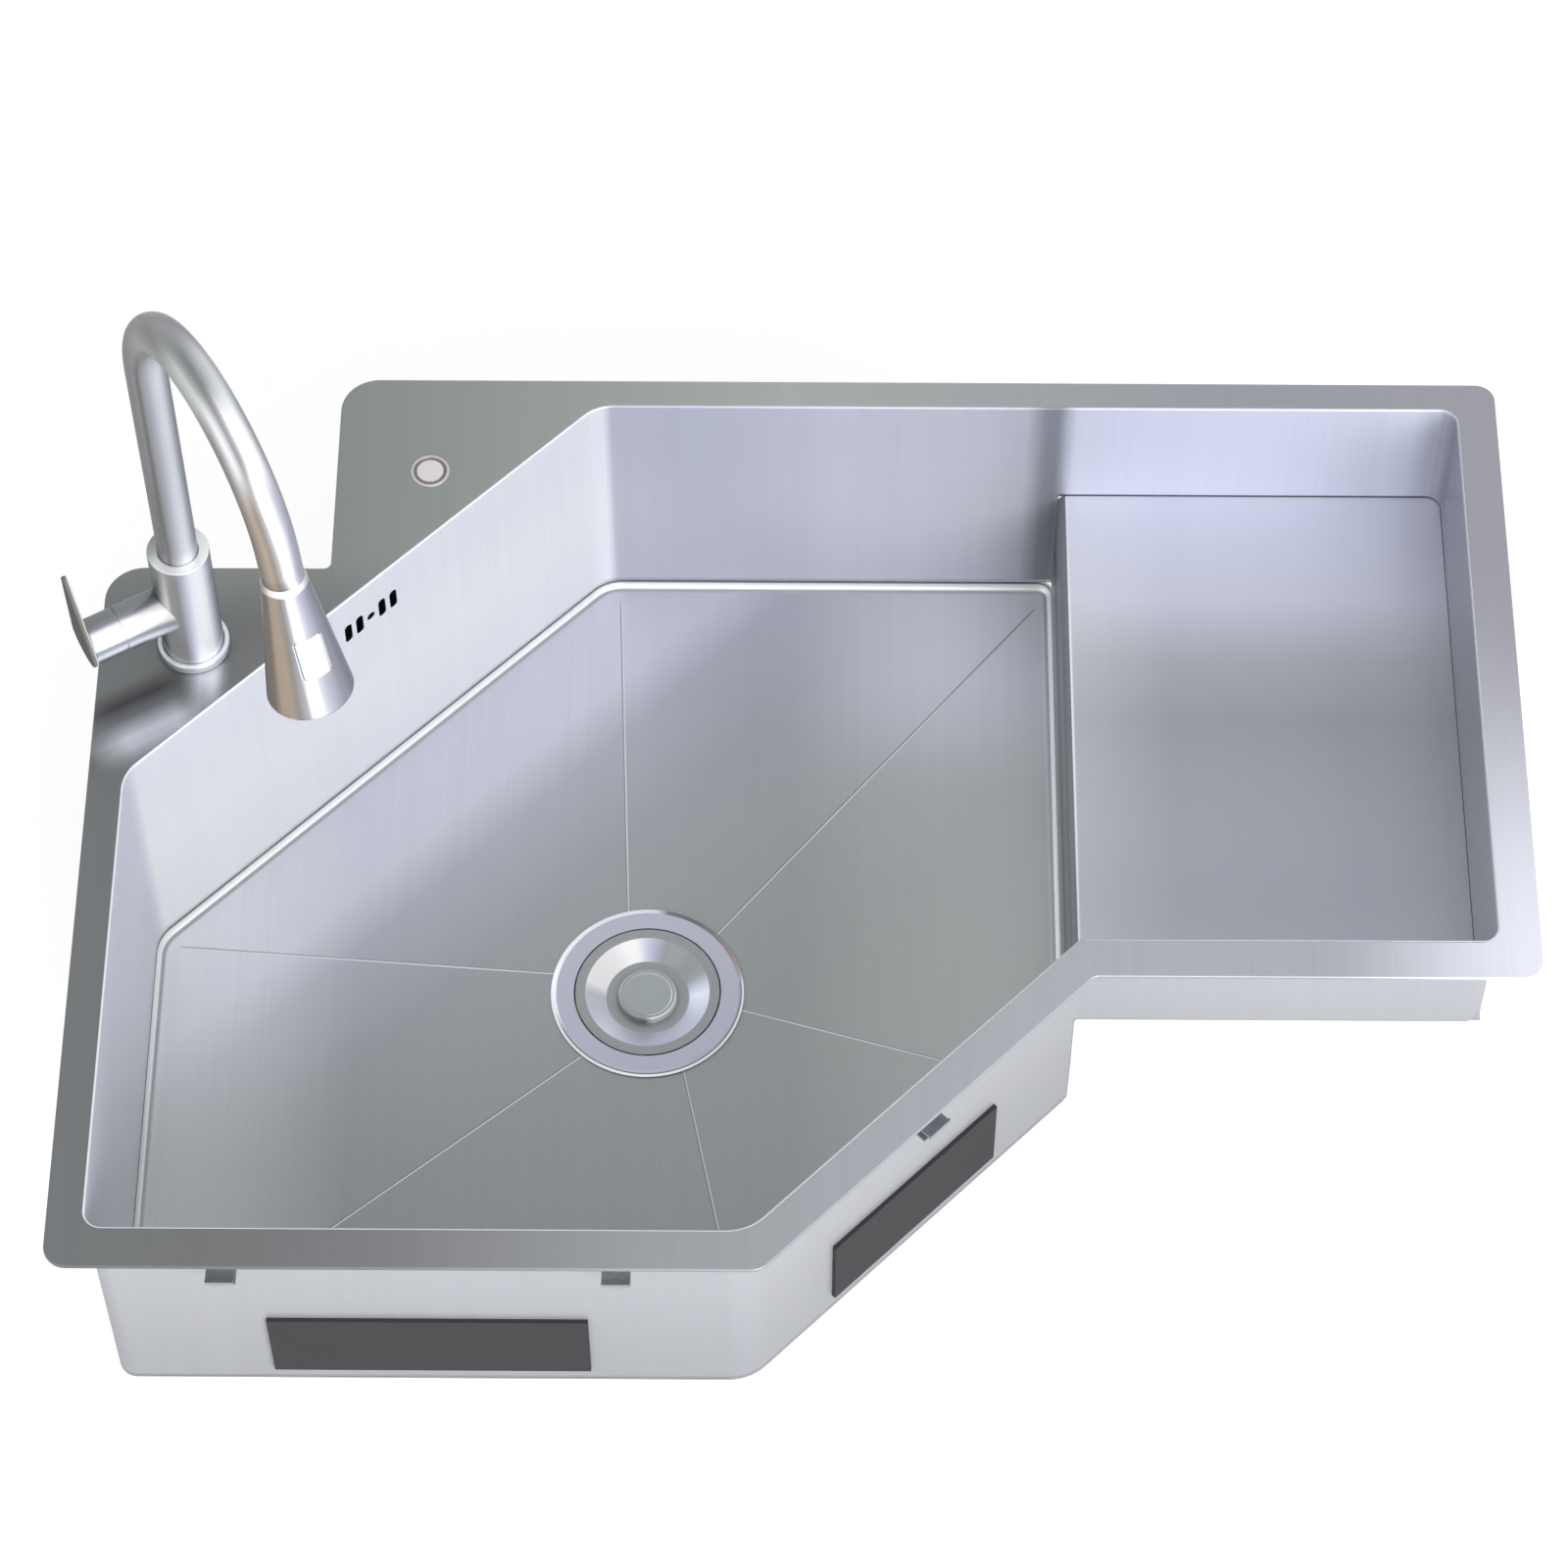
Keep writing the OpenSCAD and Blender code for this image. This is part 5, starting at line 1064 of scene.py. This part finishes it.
alongValve = atValve @ rotation("y", 90)
atSpout = atTap @ rotation("z", spout["angle"])
lean = math.radians(spout["sweep"])
archEndX = spout["arch"] * (1 - math.cos(lean))
archEndZ = spout["riser"] + spout["arch"] * math.sin(lean)
endX = archEndX + spout["tip"] * math.sin(lean)
endZ = archEndZ + spout["tip"] * math.cos(lean)
atHead = atSpout @ shift(endX, 0, endZ) @ rotation("y", spout["sweep"] - 180)


# The tap's body with its cap: one turned profile upright and one along the valve's axis, which meet in a
# crisp line.
def makeBody():
    r, top, foot, bore = tap["bodyRadius"], tap["bodyTop"], tap["bodyFoot"], tap["bore"]
    neck, sunk = r - tap["inset"], top - tap["sunk"]
    upright = filletPath([(0, tap["foot"]), (neck, tap["foot"]), (neck, foot), (r, foot), (r, top),
                          (bore, top), (bore, sunk), (0, sunk)],
                         [0, 0, 0, 0.2, tap["capEdge"], 0.15, 0, 0], False, 6, 0.4)
    h, start, seam, inner = tap["housingRadius"], tap["housingStart"], tap["seam"], tap["housingBore"]
    recess = seam - tap["recess"]
    side = filletPath([(0, start), (h, start), (h, seam), (inner, seam), (inner, recess), (0, recess)],
                      [0, 0, 0.3, 0.1, 0, 0], False, 4, 0.4)
    main = gridObject("bodyUpright", turned(upright, tap["around"], atTap))
    arm = gridObject("bodyArm", turned(side, tap["around"], alongValve))
    paint(main, bodyChrome)
    paint(arm, housingChrome)
    return joined("tapBody", [main, arm])


# The base ring: a turned ring with a rounded shoulder, open below for the body's foot.
def makeBaseRing():
    r, inner, bore = tap["ringRadius"], tap["ringInner"], tap["ringBore"]
    foot, top, seat = tap["ringFoot"], tap["ringFoot"] + tap["ringHeight"], tap["bodyFoot"]
    section = filletPath([(bore, foot), (r, foot), (r, top), (inner, top), (inner, seat), (bore, seat)],
                         [0, 0.25, tap["ringRound"], 0.3, 0, 0], True, 7, 0.2)
    return gridObject("baseRing", turned(section, tap["around"], atTap), closedAlong=True)


# The spout: a circle carried up the riser, round the arch and down the tip, outside and back inside.
def makeSpout():
    arch, riser = spout["arch"], spout["riser"]
    path = [(0, z, 0.0) for z in (spout["foot"], spout["low"], riser - spout["high"], riser - spout["near"])]
    path += [(arch * (1 - math.cos(a)), riser + arch * math.sin(a), a)
             for a in np.linspace(0, lean, spout["rows"])]
    path += [(archEndX + t * math.sin(lean), archEndZ + t * math.cos(lean), lean)
             for t in (spout["near"], spout["tipMiddle"], spout["tip"])]
    around = np.linspace(0, 2 * math.pi, spout["around"], endpoint=False)
    x, z, a = np.array(path).T[:, :, None]

    def tube(radius):
        return np.stack([x + radius * np.cos(around) * np.cos(a), radius * np.sin(around) + 0 * x,
                         z - radius * np.cos(around) * np.sin(a)], -1)
    grid = np.concatenate([tube(spout["radius"]), tube(spout["radius"] - spout["wall"])[::-1]])
    return gridObject("spoutTube", carried(grid, atSpout), closedAlong=True)


# The dock ring: a short turned collar at the spout's end, drawn in towards the spout.
def makeDockRing():
    inner, outer, height = spout["radius"], spray["top"], spray["ring"]
    section = filletPath([(inner, 0), (outer, 0), (outer, 1.5), (outer - 1, height), (inner, height)],
                         [0, 0.2, 0.4, 0.3, 0], True, 4)
    return gridObject("dockRing", turned(section, spout["around"], atHead), closedAlong=True)


# reach is the length over which the button's own cone widens, and the underside lies that far below its top
button = {"start": 34.0, "length": 30.0, "width": 17.5, "round": 2.6, "gap": 0.35, "depth": 2.1, "proud": 0.7,
          "edge": 0.6, "underside": 0.95, "reach": 95.0, "side": 0.06, "steps": 8, "least": 0.3,
          "domeShares": (0.85, 0.6, 0.3, 0.0)}
# how the shell's rows and columns lie, as shares of the pocket's half length and half width, with their counts
shellGrid = {"endShares": (0.8, 1.02, 23), "endInside": 0.996, "middleShares": (-0.75, 0.75, 14),
             "sideShares": (0.7, 1.04, 18), "sideInside": 0.993, "faceShares": (-0.62, 0.62, 9),
             "backShares": (1.1, 2.0, 60), "cone": (1.2, 3, 32), "leastRadius": 12.0, "mostSine": 0.8}
buttonMiddle = button["start"] + button["length"] / 2


# The head's cone: its radius grows evenly from the top to the mouth.
def headRadius(s, grow=0.0, reach=spray["reach"]):
    return spray["top"] + grow + (spray["mouth"] - spray["top"]) * s / reach


# The spray head's shell: a cone with a rounded mouth, a bore and a sunk place for the button. Its rows and
# columns gather where the pocket's sides and corners are.
def makeHead():
    length, mouth, bore, roof = spray["length"], spray["mouth"], spray["bore"], -spray["roof"]
    half, ends = button["width"] / 2 + button["gap"], button["length"] / 2 + button["gap"]
    g = shellGrid
    near = np.append(np.linspace(*g["endShares"]), g["endInside"])
    near = np.concatenate([-near, np.linspace(*g["middleShares"]), near])
    start, end, count = g["cone"]
    s = np.unique(np.concatenate([np.linspace(start, length - end, count), buttonMiddle + ends * near]))
    top = filletPath([(bore, 0.0), (spray["top"], 0.0), (headRadius(2), -2.0)], 0.4, False, 4)[:-1]
    lip, inside = mouth - spray["rim"], spray["recess"] - length
    low = filletPath([(headRadius(length - 4), -length + 4), (mouth, -length + 2), (mouth, -length),
                      (lip, -length), (lip, inside), (spray["top"] - spray["wall"], roof), (bore, roof)],
                     [0, 0.3, 1.7, 0.3, 0, 0, 0], False, 7, 0.2)[1:]
    profile = np.vstack([top, np.column_stack([headRadius(s), -s]), low])
    # u is the angle as a share of the pocket's half angle there, and goes on from 1 to 2 round the back
    beside, rest = np.append(np.linspace(*g["sideShares"]), g["sideInside"]), np.linspace(*g["backShares"])
    u = np.unique(np.concatenate([-beside, np.linspace(*g["faceShares"]), beside, rest, -rest[:-1]]))
    r, z = profile.T[:, :, None]
    pocket = np.arcsin(np.clip(half / np.maximum(r, g["leastRadius"]), 0, g["mostSine"]))
    angle = np.where(np.abs(u) <= 1, u * pocket, np.sign(u) * (pocket + (np.abs(u) - 1) * (math.pi - pocket)))
    grid = np.stack(np.broadcast_arrays(r * np.cos(angle), r * np.sin(angle), z), -1)
    outside = (np.arange(len(r)) < len(top) + len(s))[:, None] & (grid[..., 0] > 0)
    # far is the distance to the pocket's rounded outline, less than zero within it
    aside = np.stack([np.abs(grid[..., 1]) - (half - button["round"]),
                      np.abs(-grid[..., 2] - buttonMiddle) - (ends - button["round"])], -1)
    far = np.linalg.norm(np.maximum(aside, 0), axis=-1) + np.minimum(aside.max(-1), 0) - button["round"]
    grid[..., 0] -= button["depth"] * outside * np.clip(-far / button["side"], 0, 1)
    grid[..., 2] -= spray["gap"]
    return gridObject("sprayShell", carried(grid, atHead), closedAlong=True, flip=True)


# The button: rings that grow from its middle to its rounded outline, lifted onto a slightly larger cone.
def makeButton():
    half, edge = np.array([button["length"], button["width"]]) / 2, button["edge"]
    circle = np.linspace(0, 6.2, 90)
    outline = filletPath(boxCorners * half, button["round"], True, button["steps"])
    turnAngles = anglesOf(outline, np.column_stack([np.cos(circle), np.sin(circle)]))

    def ring(inset):
        radius = max(button["round"] - inset, button["least"])
        return rayPoints(filletPath(boxCorners * (half - inset), radius, True, button["steps"]), turnAngles)
    rows = [(ring(0.0), button["underside"])]
    rows += [(ring(edge * (1 - math.cos(a))), edge * (1 - math.sin(a))) for a in quarter(6)]
    rows += [(ring(edge) * k, 0.0) for k in button["domeShares"]]
    grid = []
    for flat, drop in rows:
        s = buttonMiddle + flat[:, 0]
        radius = headRadius(s, button["proud"], button["reach"])
        height = np.sqrt(radius ** 2 - flat[:, 1] ** 2) - drop
        grid.append(np.column_stack([height, flat[:, 1], -s - spray["gap"]]))
    return gridObject("sprayButton", carried(np.array(grid), atHead), flip=True)


lever = {"pin": 49.6, "ball": 15.2, "ballStart": 1.5, "ballReach": 8, "gap": 0.3, "cover": 15.75, "end": 72.0,
         "cap": 1.6, "tilt": 15.0, "cutBack": 0.47, "lean": 3.5, "thick": 3.4, "edge": 0.8, "inward": 0.4,
         "big": 16.6, "small": 3.0, "rise": 77.0, "middle": 20.0, "around": 128, "ballRows": 12,
         "faceRadius": 14.0, "bevel": 0.3, "supports": (1.0, 2), "footSteps": 72, "tipSteps": 24}


# The ball under the hub: a part of a sphere about the pin, turned about the valve's axis.
def makeLeverBall():
    x = tap["seam"] - lever["ballStart"] + np.linspace(0.0, 1.0, lever["ballRows"]) * lever["ballReach"]
    ball = np.column_stack([np.sqrt(lever["ball"] ** 2 - (x - lever["pin"]) ** 2), x])
    profile = np.vstack([[(0, x[0])], ball, [(0, x[-1])]])
    return gridObject("leverBall", turned(profile, spout["around"], alongValve))


# The hub: a cylinder whose near face is cut back below, so that it clears the housing when the lever tilts.
def makeLeverHub():
    cover, start, cut = lever["cover"], tap["seam"] + lever["gap"], lever["pin"] - lever["cutBack"]
    around = np.linspace(0, 2 * math.pi, lever["around"], endpoint=False)
    slope, plain = math.tan(math.radians(lever["tilt"])), np.zeros(lever["around"])
    (near, back), bevel, r = lever["supports"], lever["bevel"], lever["faceRadius"]
    shoulder, end = lever["end"] - back, lever["end"] + lever["cap"]

    # along the valve, the local X after the turn points down
    def face(r):
        return np.maximum(start, cut + r * np.cos(around) * slope)
    rows = [(0.0, face(0.0)), (r, face(r)), (cover - bevel, face(cover)), (cover, face(cover) + bevel),
            (cover, face(cover) + near), (cover, plain + shoulder), (cover, plain + end), (0.0, plain + end)]
    grid = np.array([np.column_stack([r * np.cos(around), r * np.sin(around), z]) for r, z in rows])
    return gridObject("leverHub", carried(grid, alongValve))


# The leaf's outline: a large round foot and a small round tip, joined by straight lines that touch both.
def leafOutline(inset):
    big, small = lever["big"] - inset, lever["small"] - inset
    slant = math.asin((big - small) / lever["rise"])
    foot = np.linspace(math.pi - slant, 2 * math.pi + slant, lever["footSteps"])
    tip = np.linspace(slant, math.pi - slant, lever["tipSteps"])
    lower = big * np.column_stack([np.cos(foot), np.sin(foot)])
    upper = small * np.column_stack([np.cos(tip), np.sin(tip)]) + np.array([0, lever["rise"]])
    return np.vstack([lower, upper])


# The leaf: its outline shrinks over both rounded edges, and each face closes to a point inside.
def makeLeverLeaf():
    edge, thick = lever["edge"], lever["thick"]
    levels = [(edge * (1 - math.sin(a)), edge * (1 - math.cos(a))) for a in quarter(6)]
    levels += [(edge * (1 - math.cos(a)), thick - edge * (1 - math.sin(a))) for a in quarter(6)]
    middle, inner = np.array([0, lever["middle"]]), leafOutline(edge + lever["inward"])
    cap = [inner * k + middle * (1 - k) for k in (0.0, 0.5, 1.0)]
    rows = [(c, 0.0) for c in cap] + [(leafOutline(inset), depth) for inset, depth in levels]
    rows += [(c, thick) for c in cap[::-1]]
    grid = np.array([np.column_stack([np.full(len(flat), depth), flat]) for flat, depth in rows])
    leafAt = atValve @ shift(lever["end"], 0, 0) @ rotation("y", lever["lean"])
    return gridObject("leverLeaf", carried(grid, leafAt))


# The lever: its ball, hub and leaf as one piece.
def makeLever():
    ball, hub, leaf = makeLeverBall(), makeLeverHub(), makeLeverLeaf()
    paint(ball, housingChrome)
    paint(hub, housingChrome)
    paint(leaf, bladeChrome)
    return joined("lever", [ball, hub, leaf])


tapBody, baseRing, spoutTube, dockRing = makeBody(), makeBaseRing(), makeSpout(), makeDockRing()
sprayShell, sprayButton, leverPiece = makeHead(), makeButton(), makeLever()
paint(baseRing, ringChrome)
paint(spoutTube, spoutChrome)
paint(dockRing, dockChrome)
paint(sprayShell, headChrome)
paint(sprayButton, buttonChrome)
settle(tapBody, "sink", ["tap_body", "body_cap"])
settle(baseRing, "sink", ["base_ring"])
settle(spoutTube, "spout", ["spout_tube", "spout_tip"])
settle(dockRing, "spout", ["dock_ring"])
settle(sprayShell, "spray", ["spray_shell"])
settle(sprayButton, "button", ["spray_button"])
settle(leverPiece, "lever", ["lever"])
print("tap made")


waste = {"flange": 67.0, "bevel": 3.8, "lip": 0.25, "low": -219.0, "top": -217.4, "recess": 51.0,
         "ledge": -222.6, "throat": 46.5, "tail": 48.5, "tailEnd": 24, "under": 1.5, "neck": 52.5,
         "lid": 50.0, "lidSheet": 1.2,
         "coneOut": 43.0, "coneIn": 29.0, "coneStep": 0.6, "dish": 8.5, "knob": 20.2, "knobHeight": 5.0,
         "knobRim": 3.0, "knobSlope": 4.2, "knobDish": 0.5, "knobMiddle": 0.8, "stem": 3.0, "stemEnd": 34,
         "around": 160, "knobAround": 128}
dishLevel = waste["top"] - waste["dish"]


# The flange: a turned ring with its bevel outside, the ledge that holds the lid, and its tail below.
def makeFlange():
    w = waste
    tailEnd, under, foot = w["ledge"] - w["tailEnd"], w["ledge"] - w["under"], w["low"] + w["lip"]
    corners = [(w["throat"], tailEnd), (w["tail"], tailEnd), (w["tail"], under), (w["neck"], under),
               (w["neck"], w["low"]), (w["flange"], w["low"]), (w["flange"], foot),
               (w["flange"] - w["bevel"], w["top"]), (w["recess"], w["top"]), (w["recess"], w["ledge"]),
               (w["throat"], w["ledge"])]
    section = filletPath(corners, [0, 0, 0, 0, 0, 0.1, 0.1, 0.7, 0.25, 0, 0], True, 5, 0.3)
    return gridObject("wasteFlange", turned(section, w["around"]), closedAlong=True)


# The lid: a turned sheet, level at its edge, with a cone down to its dish.
def makeLid():
    w, t, step = waste, waste["lidSheet"], waste["coneStep"]
    top, under, dishUnder = w["top"], w["top"] - t, dishLevel - t
    corners = [(w["stem"], dishLevel), (w["coneIn"], dishLevel), (w["coneOut"], top), (w["lid"], top),
               (w["lid"], under), (w["coneOut"] + step, under), (w["coneIn"] + step, dishUnder),
               (w["stem"], dishUnder)]
    section = filletPath(corners, [0, 1.2, 1.2, 0.3, 0.2, 1.0, 1.0, 0], True, 6, 0.4)
    return gridObject("wasteLid", turned(section, w["around"]), closedAlong=True, flip=True)


# The knob: a turned button with a rounded rim and a sunk middle, on the stem that guides the lid.
def makeKnob():
    w = waste
    stemEnd, top = w["ledge"] - w["stemEnd"], dishLevel + w["knobHeight"]
    corners = [(0, stemEnd), (w["stem"], stemEnd), (w["stem"], dishLevel), (w["knob"], dishLevel),
               (w["knob"], top), (w["knob"] - w["knobRim"], top),
               (w["knob"] - w["knobSlope"], top - w["knobDish"]), (0, top - w["knobMiddle"])]
    section = filletPath(corners, [0, 0.4, 0, 0.2, 1.5, 0.8, 0.8, 0], False, 7, 0.3)
    return gridObject("lidKnob", turned(section, w["knobAround"]))


wasteFlange, wasteLid, lidKnob = makeFlange(), makeLid(), makeKnob()
for piece in (wasteFlange, wasteLid, lidKnob):
    paint(piece, wasteSteel)
settle(wasteFlange, "sink", ["waste_flange"])
settle(wasteLid, "lid", ["waste_lid"])
settle(lidKnob, "lid", ["lid_knob"])
print("waste made")


# the world's strength as light, and each lamp's name, place, width in metres and power in watts
studio = {"world": 0.5, "lamps": [("keyLamp", (2.7, -4.6, 2.1), 5.0, 340.0),
                                  ("fillLamp", (-3.6, -2.6, 2.6), 4.5, 55.0),
                                  ("topLamp", (-0.4, -1.2, 4.4), 3.5, 12.0)],
          "floorHalf": 6000, "floorTone": 0.9, "floorRough": 0.9, "floorLift": 0.45}


# The world: white where the camera, gloss or glass sees it, and a plain grey as light.
def makeWorld():
    world = bpy.context.scene.world or bpy.data.worlds.new("studio")
    bpy.context.scene.world = world
    world.use_nodes = True
    tree = world.node_tree
    tree.nodes.clear()
    path = newNode(tree, "ShaderNodeLightPath")
    seen = path.outputs["Is Camera Ray"]
    for ray in ("Is Glossy Ray", "Is Transmission Ray"):
        either = newNode(tree, "ShaderNodeMath", operation="MAXIMUM")
        link(tree, seen, either.inputs[0])
        link(tree, path.outputs[ray], either.inputs[1])
        seen = either.outputs[0]
    background, out = newNode(tree, "ShaderNodeBackground"), newNode(tree, "ShaderNodeOutputWorld")
    background.inputs["Color"].default_value = (1, 1, 1, 1)
    link(tree, mapped(tree, seen, 0.0, 1.0, studio["world"], 1.0), background.inputs["Strength"])
    link(tree, background.outputs[0], out.inputs["Surface"])


# A pale floor, a little brighter to the camera so that it reads white and still keeps the shadow.
def makeFloorPlane():
    half = studio["floorHalf"]
    side = np.array([[[-half, -half, 0], [half, -half, 0]], [[-half, half, 0], [half, half, 0]]], float)
    side[..., 2] = floorLevel / mm
    plane = gridObject("studioFloor", side, closedAcross=False, smooth=False)
    material = bpy.data.materials.new("studioFloor")
    material.use_nodes = True
    tree = material.node_tree
    shader = tree.nodes["Principled BSDF"]
    shader.inputs["Base Color"].default_value = (*(studio["floorTone"],) * 3, 1)
    shader.inputs["Roughness"].default_value = studio["floorRough"]
    shader.inputs["Emission Color"].default_value = (1, 1, 1, 1)
    path = newNode(tree, "ShaderNodeLightPath")
    lift = newNode(tree, "ShaderNodeMath", operation="MULTIPLY")
    lift.inputs[1].default_value = studio["floorLift"]
    link(tree, path.outputs["Is Camera Ray"], lift.inputs[0])
    link(tree, lift.outputs[0], shader.inputs["Emission Strength"])
    paint(plane, material)


# Round lamps that face the part.
def makeLamps():
    for name, at, size, power in studio["lamps"]:
        lamp = bpy.data.lights.new(name, "AREA")
        lamp.shape, lamp.size, lamp.energy = "DISK", size, power
        holder = bpy.data.objects.new(name, lamp)
        holder.location = at
        holder.rotation_euler = (-Vector(at)).to_track_quat("-Z", "Y").to_euler()
        bpy.context.scene.collection.objects.link(holder)


# the camera fitted to the photo, with its focal length in the photo's pixels
view = {"sensor": 36.0, "focal": 5134.9, "photoWidth": 1600, "at": (0.105633, -1.754611, 2.798514),
        "towards": (-0.00339, 0.53817, -0.84284)}


# The camera: its lens is the sensor's width times the focal length as a share of the photo's width.
def makeCamera():
    camera = bpy.data.cameras.new("photoCamera")
    camera.sensor_width, camera.lens = view["sensor"], view["sensor"] * view["focal"] / view["photoWidth"]
    holder = bpy.data.objects.new("photoCamera", camera)
    holder.location = view["at"]
    holder.rotation_euler = Vector(view["towards"]).to_track_quat("-Z", "Y").to_euler()
    bpy.context.scene.collection.objects.link(holder)
    bpy.context.scene.camera = holder


makeWorld()
makeFloorPlane()
makeLamps()
makeCamera()
bpy.context.scene.view_settings.view_transform = "Standard"

bpy.context.view_layer.update()
